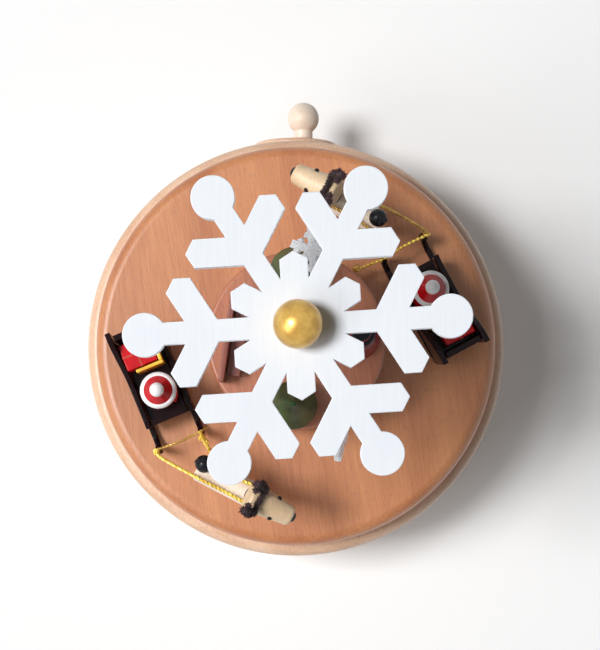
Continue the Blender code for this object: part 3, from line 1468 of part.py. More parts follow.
def make_rein(axis, number, sleigh, reindeer, tail):
    """One gold rein from a runner's tip over the body, round the neck and back to the other runner's tip."""
    bpy.context.view_layer.update()
    curl_x = (RUNNER_CURL - 0.5 * RUNNER_THICKNESS) * math.cos(RUNNER_TIP_TURN)
    curl_z = RUNNER_CURL * math.sin(RUNNER_TIP_TURN)
    tip = Vector((SLEIGH_FRONT - RUNNER_CURL + curl_x, 0.5 * (SLEIGH_WIDTH - SLEIGH_BOARD)))
    tip_height = RUNNER_CURL + curl_z + SEAT_GAP + REIN_RADIUS
    neck_share = (REIN_LEVEL - NECK_FOOT[1]) / (NECK_TOP[1] - NECK_FOOT[1])
    neck_x = NECK_FOOT[0] + neck_share * (NECK_TOP[0] - NECK_FOOT[0])
    clear = NECK_RADIUS + SEAT_GAP + REIN_RADIUS + REIN_NECK_GAP
    route = []
    for sign in (-1.0, 1.0):
        past_tail = sign * tail[1] + TAIL_RADIUS + REIN_PASS + REIN_RADIUS
        leg = [
            sleigh.matrix_world @ Vector((tip.x, sign * tip.y, tip_height)),
            sleigh.matrix_world @ Vector((tip.x + REIN_RISE, sign * tip.y, tip_height + REIN_RISE)),
            reindeer.matrix_world @ Vector((-tail[0], sign * max(REIN_ASIDE, past_tail), REIN_LEVEL)),
            reindeer.matrix_world @ Vector((0.0, sign * REIN_ASIDE, REIN_LEVEL)),
        ]
        if sign > 0:
            # The inner rein starts close to the rump, so it rises beside it.
            leg.insert(2, reindeer.matrix_world @ Vector((*REIN_BESIDE_RUMP, BODY_HEIGHT)))
        for angle in REIN_NECK_TURNS:
            spot = polar(clear, angle)
            leg.append(reindeer.matrix_world @ Vector((neck_x + spot.x, sign * spot.y, REIN_LEVEL)))
        front = reindeer.matrix_world @ Vector((neck_x + clear, 0.0, REIN_LEVEL))
        route += leg + [front] if sign < 0 else leg[::-1]
    cord(f"rein_{number}", route, REIN_RADIUS, "gold", axis)


for leftover in list(bpy.data.objects):
    bpy.data.objects.remove(leftover)
PARTS = bpy.data.collections.new("music_box")
bpy.context.scene.collection.children.link(PARTS)

make_base()
make_bushes()
make_movement()
make_crank()
make_drum()
CAROUSEL = make_carousel()
make_hanging_flakes(CAROUSEL)
make_trees(CAROUSEL)
make_bench(CAROUSEL)
make_guest(CAROUSEL)
for NUMBER, (SLEIGH, DEER) in enumerate(zip(SLEIGHS, REINDEER), start=1):
    SLEIGH_SPOT = make_sleigh(CAROUSEL, NUMBER, *SLEIGH)
    DEER_SPOT = make_reindeer(CAROUSEL, NUMBER, *DEER)
    make_rein(CAROUSEL, NUMBER, SLEIGH_SPOT, DEER_SPOT, DEER[-1])
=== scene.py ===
"""Looks of the hand-cranked music box: fine turned wood, paint, gold cords and chenille over its fixed frame.

Shapes are measured in millimetres in the frame's own directions and become metres when they are finished.
"""

import math
import random

import bmesh
import bpy
from mathutils import Euler, Matrix, Vector


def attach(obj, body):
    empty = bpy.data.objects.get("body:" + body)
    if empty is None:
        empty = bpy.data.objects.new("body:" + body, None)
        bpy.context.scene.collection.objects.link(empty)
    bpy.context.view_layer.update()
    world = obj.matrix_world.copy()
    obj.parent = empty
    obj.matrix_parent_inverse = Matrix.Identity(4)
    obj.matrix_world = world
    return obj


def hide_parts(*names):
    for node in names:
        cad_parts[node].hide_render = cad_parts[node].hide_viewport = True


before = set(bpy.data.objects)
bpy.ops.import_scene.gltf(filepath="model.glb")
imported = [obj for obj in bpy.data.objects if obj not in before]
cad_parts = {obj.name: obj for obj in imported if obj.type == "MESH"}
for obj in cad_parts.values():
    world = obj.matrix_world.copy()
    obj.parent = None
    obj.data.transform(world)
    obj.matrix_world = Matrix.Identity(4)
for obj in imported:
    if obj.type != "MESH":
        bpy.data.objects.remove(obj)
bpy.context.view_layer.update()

MM = 0.001
TURN = 2.0 * math.pi
QUARTER = 0.25 * TURN
UP = Vector((0.0, 0.0, 1.0))
UPRIGHT = Matrix.Rotation(QUARTER, 4, "X")  # sets a board that is drawn flat on its lower edge
BACKWARD = Matrix.Rotation(-QUARTER, 4, "X")  # lays a turned shape along the crank's shaft
SHARP_ANGLE = math.radians(40.0)
SQUARE_SLACK = 0.05
MERGE = 0.0005
FINE_ROUNDING = 0.6
WHEEL_STEPS = 192  # round the base and the turntable
ROUND_STEPS = 96
FIGURE_STEPS = 64
BALL_STEPS = 48
SMALL_STEPS = 32
RING_SIDES = 14
CORD_SIDES = 8

# Base, from the table upwards
FELT_TOP = 1.2
FELT_RADIUS = 41.5
BASE_BOTTOM = 1.5
BASE_TOP = 33.5
BASE_RADIUS = 55.0
BASE_TOP_EDGE = 3.0
BASE_FOOT_EDGE = 1.5
COVER_LEDGE_RADIUS = 48.0
COVER_LEDGE = 4.5
CAVITY_RADIUS = 42.0
CEILING = 27.5
LEDGE_RADIUS = 17.0  # of the opening under the bearing plate, and its ledge
LEDGE_TOP = 29.0
PLATE_HOLE_RADIUS = 20.3
SCREW_CIRCLE = 45.0
SCREW_PROFILE = ((0.0, 8.0), (1.0, 8.0), (1.0, 1.2), (2.0, 0.25), (2.0, 0.0, 0.15), (0.0, 0.0))
SCREW_SLOT = ((-2.5, -0.25, -0.5), (2.5, 0.25, 0.55))
SCREW_TURN = 0.7  # between one screw's slot and the next one's

# Turntable, pedestal and pole
TURNTABLE_RADIUS = 51.7
TURNTABLE_BOTTOM = 34.5
TURNTABLE_TOP = 43.5
TURNTABLE_TOP_EDGE = 3.2
TURNTABLE_LOWER_EDGE = 1.2
SPINDLE_HOLE = 2.8
STAND = 43.8
PEDESTAL_RADIUS = 21.8
PEDESTAL_TOP = 67.0
PEDESTAL_EDGE = 0.9
PEDESTAL_FOOT_EDGE = 0.3
PERCH = 67.3
POLE_RADIUS = 2.0
POLE_LOW = 56.1
POLE_HIGH = 125.1
POLE_HOLE = 2.3

# Snowflakes and the ball
FLAKE_LOW = 119.0
FLAKE_THICKNESS = 3.0
FLAKE_TURN = math.radians(3.6)
FLAKE_EDGE = 0.22
BALL_RADIUS = 5.2
BALL_SEAT = 122.3
BALL_SEAT_RADIUS = 2.7
BALL_CENTRE = BALL_SEAT + math.sqrt(BALL_RADIUS**2 - BALL_SEAT_RADIUS**2)
SMALL_FLAKE_THICKNESS = 1.2
SMALL_FLAKE_RADIUS = 6.0
SMALL_FLAKE_EDGE = 0.18
WIRE_RADIUS = 0.3
WIRE_TOP = 118.7
GLUE = 0.3  # between pieces that are glued together
# Each small snowflake: its wire's distance from the axis and direction, the wire's length, the direction of
# the snowflake's own plane, and its lean from upright
HANGING = (
    (19.1, math.radians(64.0), 22.5, math.radians(-112.3), math.radians(58.0)),
    (25.3, math.radians(-67.7), 19.5, math.radians(78.0), math.radians(8.0)),
)

# Crank
SHAFT_HEIGHT = 17.0
SHAFT_HOLE = 3.3
SHAFT_HOLE_REACH = (30.0, 60.0)
CRANK_RADIUS = 11.2
CRANK_LOW = 52.6
CRANK_HIGH = 56.4
CRANK_EDGE = 0.8
CRANK_BORE = 1.8
CRANK_BORE_DEPTH = 2.9
RECESS_RADIUS = 12.0
RECESS_FLOOR = 52.3
RECESS_END = 70.0
RECESS_EDGE = 0.5
GRIP_PLACE = (2.084, 56.7, 23.157)
GRIP_RADIUS = 4.2
GRIP_NECK = 2.5
GRIP_NECK_LENGTH = 2.2
GRIP_BORE = 1.3
GRIP_BORE_DEPTH = 6.3

# On the pedestal: distance from the axis and direction
TREES = (("tree_north", 16.4, math.radians(92.0)), ("tree_south", 15.9, math.radians(-93.0)))
TREE_CROWN = ((0.0, 22.0), (0.55, 21.9, 0.3), (6.1, 4.0, 1.0), (0.0, 4.0))
BENCH = (16.6, math.radians(179.0), PERCH, math.radians(-8.2))
GUEST = (14.9, math.radians(3.3), PERCH)
GUEST_HEIGHT = 17.0
GUEST_COAT_RADIUS = 5.6
GUEST_HEAD_RADIUS = 2.6
SCARF_LEVEL = 12.4
HAT_PROFILE = ((0.0, 5.0), (2.3, 5.0, 0.4), (2.2, 0.9, 0.2), (3.4, 0.75, 0.2), (3.4, 0.1, 0.2), (0.0, 0.0))
HAT_BAND = ((2.15, 2.1), (2.42, 2.1, 0.1), (2.42, 0.95, 0.1), (2.15, 0.95))

# Sleighs: distance from the axis, direction and heading. X is forward, Y left, Z up from the turntable.
SLEIGHS = (
    (36.6, math.radians(199.9), math.radians(-67.5)),
    (35.9, math.radians(21.1), math.radians(118.5)),
)
SIDE_Y = 5.8
BOARD = 1.4
SLEIGH_REAR = 17.9
SLEIGH_FRONT = 14.3
SLEIGH_REAR_HEIGHT = 19.5
SLEIGH_FRONT_HEIGHT = 10.5
BOX_FRONT = 7.0
SLEIGH_FLOOR = 4.8
SEAT_WIDTH = 9.6
RUNNER = 1.8
CURL = 5.0
CURL_TURN = math.radians(30.0)
STRUT = 1.6
SEAT_LEVEL = 6.8
PARCEL_TOP = SEAT_LEVEL + 9.3
RIDER_Y = 0.8
RIDER_HEIGHT = 14.5
RIDER_COAT_RADIUS = 4.0
RIDER_HEAD_RADIUS = 3.1
RIDER_ARM = ((0.2, 2.6, 7.6), (1.6, 2.9, 6.2), (3.4, 1.7, 6.0))
FUR_BRIM = ((2.2, 2.1, 0.4), (4.5, 2.2, 1.05), (4.5, 0.0, 1.05), (2.2, 0.0, 0.3))
RED_CONE = ((0.0, 5.4), (1.1, 5.4), (3.65, 1.95), (3.2, 0.6), (0.0, 0.6))

# Reindeer: distance from the axis, direction, heading, the tail's place behind and to the left, and the rump
REINDEER = (
    (38.7, math.radians(244.1), math.radians(-27.5), (7.2, 1.5), 8.5),
    (35.7, math.radians(65.0), math.radians(151.0), (5.4, -0.4), 6.9),
)
BODY_LEVEL = 15.5
BODY_RADIUS = 3.4
CHEST = 8.5
LEG_INSET = 2.3
LEG_Y = 1.9
LEG_RADII = (1.0, 1.1)
NECK_RADIUS = 2.1
NECK_FOOT = Vector((6.4, 0.0, 15.5))
NECK_TOP = Vector((8.9, 0.0, 24.0))
HEAD_BACK = Vector((5.9, 0.0, 25.4))
MUZZLE = Vector((17.7, 0.0, 22.6))
HEAD_LINE = (MUZZLE - HEAD_BACK).normalized()
HEAD_RADIUS = 3.85
MUZZLE_RADIUS = 2.5
EYE_REACH = 7.0
COLLAR_LEVEL = 20.9
TAIL_RADIUS = 2.2
CROWN_REACH = 8.6  # from the muzzle back to the antlers
ANTLER_LEAN = math.radians(-30.0)
# Chenille: each stretch's points in the antlers' own plane, its core's radius and the length of its hairs
BROW_BAR = (((-2.9, 0.2), (-1.4, 0.75), (0.0, 0.8), (1.4, 0.75), (2.9, 0.2)), 0.55, 0.4)
SIDE_TINES = (
    (((2.9, 0.2), (3.4, 2.0), (3.3, 4.0), (3.5, 5.7)), 0.85, 0.5),
    (((3.35, 3.0), (2.4, 3.8), (1.8, 4.8)), 0.6, 0.45),
    (((3.35, 1.6), (4.0, 2.5), (4.3, 3.3)), 0.7, 0.45),
)
HAIRS_PER_MM = 60

# Reins and cords, in the sleigh's own directions: the points of each cord across the runners' tips, and each
# knot's place and size
REIN_LEVEL = 19.4
REIN_RADIUS = 0.5
REIN_Y = 2.3
REIN_KNEE = (-7.4, 4.9, BODY_LEVEL)
CROSS_START = ((12.9, -7.1, 7.6), (13.0, -5.8, 8.6), (13.3, 0.0, 7.9), (12.9, 5.8, 8.6))
CROSS_END = (((12.7, 7.6, 7.2),), ((13.5, 10.0, 7.0), (14.0, 13.6, 5.6)))
TIP_KNOTS = (((13.4, -6.5, 8.3), 0.8), ((14.5, 5.6, 8.2), 0.95))
END_KNOT = (((15.9, 6.0, 7.7), 0.8), ((14.2, 12.9, 6.3), 0.9))
KNOT_TURNS = (
    (0.9, 0.0, 0.2),
    (0.2, 0.8, 0.5),
    (-0.9, 0.3, 0.0),
    (-0.2, -0.8, 0.5),
    (0.8, -0.5, -0.2),
    (0.1, 0.6, -0.4),
)


def polar(radius, angle, height=0.0):
    """The point at that distance and direction from the axis."""
    return Vector((radius * math.cos(angle), radius * math.sin(angle), height))


def standing(reach, direction, level, heading=0.0):
    """The place at that distance and direction from the axis, on a level, turned to its heading."""
    return Matrix.Translation(polar(reach, direction, level)) @ Matrix.Rotation(heading, 4, "Z")


def raised(height):
    return Matrix.Translation((0.0, 0.0, height))


def pointing(along):
    """The turn from upright to that direction."""
    return UP.rotation_difference(along).to_matrix().to_4x4()


def tone(red, green, blue):
    """A colour written as it looks, from 0 to 255, as the shader reads it."""
    shares = [part / 255.0 for part in (red, green, blue)]
    linear = [share / 12.92 if share < 0.04045 else ((share + 0.055) / 1.055) ** 2.4 for share in shares]
    return (*linear, 1.0)


def shader_node(tree, kind, sockets, **settings):
    """A new node with those settings, and its sockets set to a value or joined to another node's output."""
    made = tree.nodes.new(f"ShaderNode{kind}")
    for setting, value in settings.items():
        setattr(made, setting, value)
    for socket, value in sockets.items():
        if isinstance(value, bpy.types.NodeSocket):
            tree.links.new(value, made.inputs[socket])
        else:
            made.inputs[socket].default_value = value
    return made


class Finish:
    """A procedural finish and its slot in the record. Its patterns are in millimetres on the piece itself."""

    def __init__(self, name, slot=None, roughness=0.5, metallic=0.0, **sockets):
        self.slot = slot or name
        self.material = bpy.data.materials.new(name)
        self.material.use_nodes = True
        self.tree = self.material.node_tree
        self.shader = self.tree.nodes["Principled BSDF"]
        self.shader.inputs["Roughness"].default_value = roughness
        self.shader.inputs["Metallic"].default_value = metallic
        for socket, value in sockets.items():
            self.shader.inputs[socket.replace("_", " ")].default_value = value
        self.place = shader_node(self.tree, "TexCoord", {}).outputs["Object"]

    def grid(self, size, turn=(0.0, 0.0, 0.0)):
        """Coordinates whose unit is that many millimetres each way, in a frame turned on the piece."""
        sockets = {"Vector": self.place, "Rotation": turn, "Scale": [MM * part for part in size]}
        return shader_node(self.tree, "Mapping", sockets, vector_type="TEXTURE").outputs["Vector"]

    def noise(self, size, turn=(0.0, 0.0, 0.0), detail=2.0, distortion=0.0):
        sockets = {"Vector": self.grid(size, turn), "Scale": 1.0, "Detail": detail, "Distortion": distortion}
        return shader_node(self.tree, "TexNoise", sockets).outputs["Fac"]

    def cells(self, size, output):
        sockets = {"Vector": self.grid(size), "Scale": 1.0}
        return shader_node(self.tree, "TexVoronoi", sockets).outputs[output]

    def ramp(self, source, *stops):
        """A colour or a grey level for each level of the source."""
        made = shader_node(self.tree, "ValToRGB", {"Fac": source})
        for point, (level, colour) in zip(made.color_ramp.elements, stops):
            point.position = level
            point.color = tone(*colour) if isinstance(colour, tuple) else (colour, colour, colour, 1.0)
        return made.outputs["Color"]

    def between(self, share, first, second, blend="MIX"):
        """The first colour with that share of the second."""
        sockets = {0: share, 6: first, 7: second}
        return shader_node(self.tree, "Mix", sockets, data_type="RGBA", blend_type=blend).outputs[2]

    def mixed(self, first, share, second):
        """A level between the first, at share 0, and the second, at share 1."""
        return shader_node(self.tree, "Mix", {0: share, 2: first, 3: second}).outputs[0]

    def added(self, first, share, second):
        """The first level plus a share of the second."""
        sockets = {0: second, 1: share, 2: first}
        return shader_node(self.tree, "Math", sockets, operation="MULTIPLY_ADD").outputs[0]

    def drive(self, socket, source):
        self.tree.links.new(source, self.shader.inputs[socket])

    def colour(self, source):
        self.drive("Base Color", source)

    def shade(self, pattern, second, low_tone, high_tone):
        """Two tones by one pattern with some of a second in it."""
        level = self.mixed(pattern, 0.4, second)
        self.colour(self.ramp(level, (0.35, low_tone), (0.65, high_tone)))

    def gloss(self, source, low, high):
        made = shader_node(self.tree, "MapRange", {"Value": source, "To Min": low, "To Max": high})
        self.drive("Roughness", made.outputs["Result"])

    def relief(self, source, depth):
        """Bumps that deep, in millimetres."""
        made = shader_node(self.tree, "Bump", {"Height": source, "Distance": depth * MM})
        self.drive("Normal", made.outputs["Normal"])


def wood(name, light, dark, fleck, fleck_share, turn=(0.0, 0.0, 0.0), satin=0.2, slot=None):
    """Fine beech or maple: soft bands, thin fibres and short dark flecks, all along its own Y."""
    made = Finish(name, slot, Coat_Weight=satin, Coat_Roughness=0.4)
    bands = made.noise((8.0, 120.0, 1.6), turn, detail=3.0, distortion=0.2)
    shades = made.noise((26.0, 160.0, 9.0), turn)
    fibres = made.noise((0.5, 9.0, 0.22), turn, detail=4.0)
    flecks = made.ramp(made.noise((0.24, 1.7, 0.32), turn, detail=1.0), (0.58, 0.0), (0.70, 1.0))
    base = made.ramp(made.mixed(made.mixed(bands, 0.4, shades), 0.3, fibres), (0.38, light), (0.62, dark))
    share = made.ramp(flecks, (0.0, 0.0), (1.0, fleck_share))
    made.colour(made.between(share, base, tone(*fleck)))
    made.gloss(fibres, 0.36, 0.52)
    made.relief(made.added(fibres, -0.6, flecks), 0.025)
    return made


def paint(name, light, dark, roughness, coat, shine=0.5, brush=(1.2, 6.0, 1.2), depth=0.012, slot=None):
    """Brushed or dipped paint with a faint unevenness."""
    made = Finish(name, slot, Coat_Weight=coat, Coat_Roughness=0.12, Specular_IOR_Level=shine)
    strokes = made.noise(brush, detail=3.0)
    made.shade(strokes, made.noise((9.0, 9.0, 9.0)), light, dark)
    made.gloss(strokes, *roughness)
    made.relief(strokes, depth)
    return made


def metal(name, light, dark):
    """Turned or rolled metal with fine tool lines."""
    made = Finish(name, metallic=1.0)
    lines = made.noise((0.15, 5.0, 5.0))
    made.shade(lines, made.noise((6.0, 6.0, 6.0)), light, dark)
    made.gloss(lines, 0.2, 0.4)
    made.relief(lines, 0.006)
    return made


def gilding(name, light, dark, roughness, metallic, slot=None):
    """Satin gold paint with its fine grain."""
    made = Finish(name, slot, metallic=metallic, Coat_Weight=0.2, Coat_Roughness=0.2)
    grain = made.noise((0.12, 0.12, 0.12))
    cloud = made.noise((2.5, 2.5, 2.5), detail=3.0)
    made.shade(cloud, grain, light, dark)
    made.gloss(cloud, *roughness)
    made.relief(grain, 0.008)
    return made


def glitter(name, light, dark, slot=None):
    """White paint with fine glitter strewn in it."""
    made = Finish(name, slot, Coat_Weight=0.4, Coat_Roughness=0.15)
    size = (0.28, 0.28, 0.28)
    grains = made.cells(size, "Color")
    made.colour(made.ramp(grains, (0.0, dark), (0.55, light)))
    made.gloss(grains, 0.15, 0.7)
    made.relief(made.cells(size, "Distance"), 0.06)
    return made


def cloth_fibre(name, light, dark, size, depth, sheen, slot=None):
    """Felted or tufted fibre."""
    made = Finish(name, slot, roughness=0.9, Sheen_Weight=sheen, Sheen_Roughness=0.5)
    fibre = made.noise((size, 3.0 * size, size), detail=4.0, distortion=1.5)
    made.shade(fibre, made.noise((4.0, 4.0, 4.0)), dark, light)
    made.gloss(fibre, 0.8, 1.0)
    made.relief(fibre, depth)
    return made


def layered_wood(name):
    """Birch plywood: a pale face with long figure, and its layers along the edge."""
    made = Finish(name, roughness=0.6)
    figure = made.noise((2.2, 40.0, 2.2), detail=4.0, distortion=1.2)
    layers = made.ramp(made.noise((60.0, 60.0, 0.9), detail=0.0), (0.44, 0.0), (0.56, 1.0))
    face = made.ramp(figure, (0.3, (226, 196, 156)), (0.75, (196, 158, 116)))
    made.colour(made.between(0.25, face, layers, "SOFT_LIGHT"))
    made.relief(figure, 0.04)
    return made


def bevelled(shape, parts, size, segments, affect):
    bmesh.ops.bevel(
        shape,
        geom=parts,
        offset=size,
        offset_type="OFFSET",
        segments=segments,
        profile=0.5,
        affect=affect,
        clamp_overlap=affect == "EDGES",
        material=-1,
    )


def closed(shape):
    """Merges a shape's doubles and turns its faces outwards."""
    bmesh.ops.remove_doubles(shape, verts=shape.verts, dist=MERGE)
    bmesh.ops.recalc_face_normals(shape, faces=shape.faces)


def spun(shape, steps, place):
    """The shape of a drawn edge line turned once about Z."""
    bmesh.ops.spin(
        shape,
        geom=shape.verts[:] + shape.edges[:],
        cent=(0.0, 0.0, 0.0),
        axis=UP,
        angle=TURN,
        steps=steps,
        use_merge=True,
    )
    closed(shape)
    shape.transform(place)
    return shape


def turned(points, steps=ROUND_STEPS, place=Matrix()):
    """A turned shape from (radius, height) or (radius, height, rounding) points, top to bottom outside."""
    shape = bmesh.new()
    corners = [shape.verts.new((point[0], 0.0, point[1])) for point in points]
    for pair in zip(corners, corners[1:]):
        shape.edges.new(pair)
    if points[0][0] > 0.0 or points[-1][0] > 0.0:
        shape.edges.new((corners[-1], corners[0]))
    for corner, (_, _, *rounding) in zip(corners, points):
        if any(rounding):
            segments = 4 if rounding[0] < FINE_ROUNDING else 8
            bevelled(shape, [corner], rounding[0], segments, "VERTICES")
    return spun(shape, steps, place)


def dowel(radius, high, low, top_edge=0.0, foot_edge=0.0, steps=SMALL_STEPS, place=Matrix()):
    """A plain round rod or disc between two levels."""
    profile = [(0.0, high), (radius, high, top_edge), (radius, low, foot_edge), (0.0, low)]
    return turned(profile, steps, place)


def plate(outlines, thickness, edge, place=Matrix(), segments=2):
    """A flat board centred on Z 0, between closed outlines of its XY plane, the later ones being holes."""
    shape = bmesh.new()
    for outline in outlines:
        corners = [shape.verts.new((*spot[:2], -0.5 * thickness)) for spot in outline]
        for pair in zip(corners, corners[1:] + corners[:1]):
            shape.edges.new(pair)
    bmesh.ops.triangle_fill(shape, edges=shape.edges[:], use_beauty=True, use_dissolve=True)
    raised_parts = bmesh.ops.extrude_face_region(shape, geom=shape.faces[:])["geom"]
    risen = [part for part in raised_parts if isinstance(part, bmesh.types.BMVert)]
    bmesh.ops.translate(shape, vec=(0.0, 0.0, thickness), verts=risen)
    bmesh.ops.recalc_face_normals(shape, faces=shape.faces)
    bevelled(shape, [rim for rim in shape.edges if is_rim(rim)], edge, segments, "EDGES")
    shape.transform(place)
    return shape


def is_rim(edge):
    """True for an edge between a flat face and a wall."""
    level = abs(edge.verts[0].co.z - edge.verts[1].co.z) < MERGE
    return level and abs(edge.calc_face_angle(0.0) - QUARTER) < SQUARE_SLACK


def block(low, high, edge, place=Matrix(), segments=3):
    """A squared piece between two corners with all its edges eased."""
    low, high = Vector(low), Vector(high)
    shape = bmesh.new()
    bmesh.ops.create_cube(shape, size=1.0)
    bmesh.ops.scale(shape, vec=high - low, verts=shape.verts)
    bmesh.ops.translate(shape, vec=0.5 * (low + high), verts=shape.verts)
    bevelled(shape, shape.edges[:], edge, segments, "EDGES")
    shape.transform(place)
    return shape


def ball(centre, radius, place=Matrix(), steps=SMALL_STEPS, stretch=(1.0, 1.0, 1.0)):
    """A ball, or an egg where it is stretched."""
    shape = bmesh.new()
    sides = Matrix.Translation(centre) @ Matrix.Diagonal((*stretch, 1.0))
    bmesh.ops.create_uvsphere(shape, u_segments=steps, v_segments=steps // 2, radius=radius, matrix=sides)
    shape.transform(place)
    return shape


def ring(major, minor, place):
    """A round ring lying flat about its own Z."""
    shape = bmesh.new()
    section = bmesh.ops.create_circle(shape, segments=RING_SIDES, radius=minor)["verts"]
    bmesh.ops.rotate(shape, verts=section, matrix=Matrix.Rotation(QUARTER, 3, "X"))
    bmesh.ops.translate(shape, verts=section, vec=(major, 0.0, 0.0))
    return spun(shape, SMALL_STEPS, place)


def trimmed(shape, spot, above):
    """Cuts a shape level through a spot, keeps what is above or below it, and closes the cut."""
    cut = bmesh.ops.bisect_plane(
        shape,
        geom=shape.verts[:] + shape.edges[:] + shape.faces[:],
        plane_co=spot,
        plane_no=UP,
        clear_inner=above,
        clear_outer=not above,
    )
    rim = [part for part in cut["geom_cut"] if isinstance(part, bmesh.types.BMEdge)]
    bmesh.ops.edgeloop_fill(shape, edges=rim)
    bmesh.ops.recalc_face_normals(shape, faces=shape.faces)
    return shape


def tube(path, radius, sides=CORD_SIDES):
    """A round tube along points."""
    curve = bpy.data.curves.new("tube", "CURVE")
    curve.dimensions = "3D"
    curve.bevel_depth = radius
    curve.bevel_resolution = sides // 2 - 2
    curve.use_fill_caps = True
    spline = curve.splines.new("POLY")
    spline.points.add(len(path) - 1)
    for point, spot in zip(spline.points, path):
        point.co = (*spot, 1.0)
    drawn = shown("tube", curve)
    shape = evaluated(drawn)
    closed(shape)
    bpy.data.objects.remove(drawn)
    bpy.data.curves.remove(curve)
    return shape


def shown(name, content):
    """A new object in the scene with that mesh, curve, lamp or camera."""
    made = bpy.data.objects.new(name, content)
    bpy.context.scene.collection.objects.link(made)
    return made


def meshed(name, shape):
    """A new object in the scene with that shape."""
    mesh = bpy.data.meshes.new(name)
    shape.to_mesh(mesh)
    shape.free()
    return shown(name, mesh)


def evaluated(made):
    """The shape of an object with its curve drawn and its modifiers applied."""
    bpy.context.view_layer.update()
    mesh = bpy.data.meshes.new_from_object(made.evaluated_get(bpy.context.evaluated_depsgraph_get()))
    shape = bmesh.new()
    shape.from_mesh(mesh)
    bpy.data.meshes.remove(mesh)
    return shape


def joined(*shapes):
    """One shape of several that touch or lie apart."""
    whole = bmesh.new()
    for shape in shapes:
        carrier = bpy.data.meshes.new("carrier")
        shape.to_mesh(carrier)
        shape.free()
        whole.from_mesh(carrier)
        bpy.data.meshes.remove(carrier)
    return whole


def carved(shape, *tools):
    """The shape with the tools' space cut out of it."""
    made = meshed("work", shape)
    for tool in tools:
        step = made.modifiers.new("Cut", "BOOLEAN")
        step.operation = "DIFFERENCE"
        step.solver = "EXACT"
        step.object = meshed("work", tool)
    result = evaluated(made)
    for step in list(made.modifiers):
        bpy.data.objects.remove(step.object)
    bpy.data.objects.remove(made)
    return result


def piece(name, shape, finish, stands_for=None, body="carousel"):
    """Makes a shape in millimetres a piece of the object, in metres."""
    shape.transform(Matrix.Scale(MM, 4))
    made = meshed(name, shape)
    made.data.shade_smooth()
    made.data.set_sharp_from_angle(angle=SHARP_ANGLE)
    made.data.materials.append(finish.material)
    even = made.modifiers.new("Flat faces", "WEIGHTED_NORMAL")
    even.keep_sharp = True
    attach(made, body)
    if stands_for:
        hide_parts(stands_for)


def refinished(finish, *nodes):
    """Gives CAD nodes that stay a better finish."""
    for node in nodes:
        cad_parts[node].material_slots[0].material = finish.material


def arc(centre, radius, start, end, steps):
    angles = [start + (end - start) * step / steps for step in range(steps + 1)]
    return [(centre[0] + radius * math.cos(angle), centre[1] + radius * math.sin(angle)) for angle in angles]


def star(half_sector, turn):
    """A six-armed outline from one half sector, given from the gap to the arm's tip."""
    sector = [(x, -y) for x, y in half_sector] + half_sector[::-1]
    outline = []
    for arm in range(6):
        for point in sector:
            spot = Matrix.Rotation(turn + arm * TURN / 6, 2) @ Vector(point)
            if not outline or (spot - outline[-1]).length > MERGE:
                outline.append(spot)
    if (outline[0] - outline[-1]).length < MERGE:
        outline.pop()
    return outline


def smooth_route(points, steps):
    """Points of the smooth curve through a route's own points."""
    ends = [points[0] * 2.0 - points[1]] + points + [points[-1] * 2.0 - points[-2]]
    path = []
    for index in range(1, len(ends) - 2):
        before, start, end, after = ends[index - 1 : index + 3]
        for step in range(steps):
            t = step / steps
            bend = (2.0 * before - 5.0 * start + 4.0 * end - after) * t**2
            twist = (3.0 * start - before - 3.0 * end + after) * t**3
            path.append(0.5 * (2.0 * start + (end - before) * t + bend + twist))
    path.append(points[-1])
    return path


GRAIN = (0.0, 0.0, math.radians(8.0))
BEECH = wood("beech", (239, 204, 175), (213, 168, 135), (158, 110, 80), 0.28, turn=GRAIN, satin=0.5)
WARM_BEECH = wood("warm_beech", (208, 138, 86), (174, 102, 56), (122, 68, 38), 0.3, turn=GRAIN, satin=0.7)
# A darker, redder copy of the turntable's beech for the pedestal under the snowflake: painted shade, with a
# redder tone of its own.
SHADED_RED_BEECH = wood(
    "shaded_red_beech", (190, 116, 78), (158, 86, 54), (106, 56, 34), 0.3, turn=GRAIN, satin=0.5, slot="warm_beech"
)
PALE_WOOD = wood("pale_wood", (247, 231, 215), (233, 211, 188), (200, 168, 138), 0.2)
HEAD_WOOD = wood("head_wood", (236, 208, 172), (216, 184, 144), (176, 140, 102), 0.2, slot="pale_wood")
PLANK = wood("red_brown_wood", (140, 68, 48), (104, 44, 30), (70, 28, 20), 0.4)
TRUNK = wood("trunk_wood", (130, 92, 62), (92, 60, 38), (60, 36, 22), 0.4, slot="red_brown_wood")
PLYWOOD = layered_wood("plywood")
WHITE = paint(
    "white_paint", (243, 247, 252), (237, 242, 249), (0.5, 0.62), coat=0.0, brush=(0.6, 9.0, 3.0), depth=0.006
)
HAT_WHITE = paint("white_gloss", (250, 249, 249), (240, 238, 239), (0.25, 0.35), coat=0.2, slot="white_paint")
GREEN = paint(
    "green_paint", (54, 90, 48), (24, 50, 28), (0.3, 0.4), coat=0.05, shine=0.12, brush=(3.0, 3.0, 9.0)
)
BLACK = paint("black_paint", (24, 25, 30), (12, 12, 16), (0.25, 0.35), coat=0.05, shine=0.15, depth=0.01)
STROKES = (2.0, 9.0, 2.0)
MAROON = paint(
    "maroon_paint", (32, 6, 11), (15, 2, 5), (0.18, 0.28), coat=0.05, shine=0.1, brush=STROKES, depth=0.01
)
RED = paint("red_paint", (216, 12, 28), (186, 6, 20), (0.25, 0.36), coat=0.12, shine=0.2)
CRIMSON = paint(
    "coat_paint", (132, 14, 28), (92, 8, 18), (0.3, 0.42), coat=0.1, shine=0.25, slot="maroon_paint"
)
SKIN = paint("head_paint", (238, 206, 176), (222, 184, 152), (0.35, 0.45), coat=0.2, slot="pale_wood")
GOLD = gilding("gold_paint", (230, 188, 98), (184, 136, 54), (0.26, 0.36), metallic=0.62)
DULL_RIBBON = paint(
    "dull_ribbon", (206, 74, 60), (176, 54, 44), (0.4, 0.5), coat=0.0, shine=0.3, slot="red_paint"
)
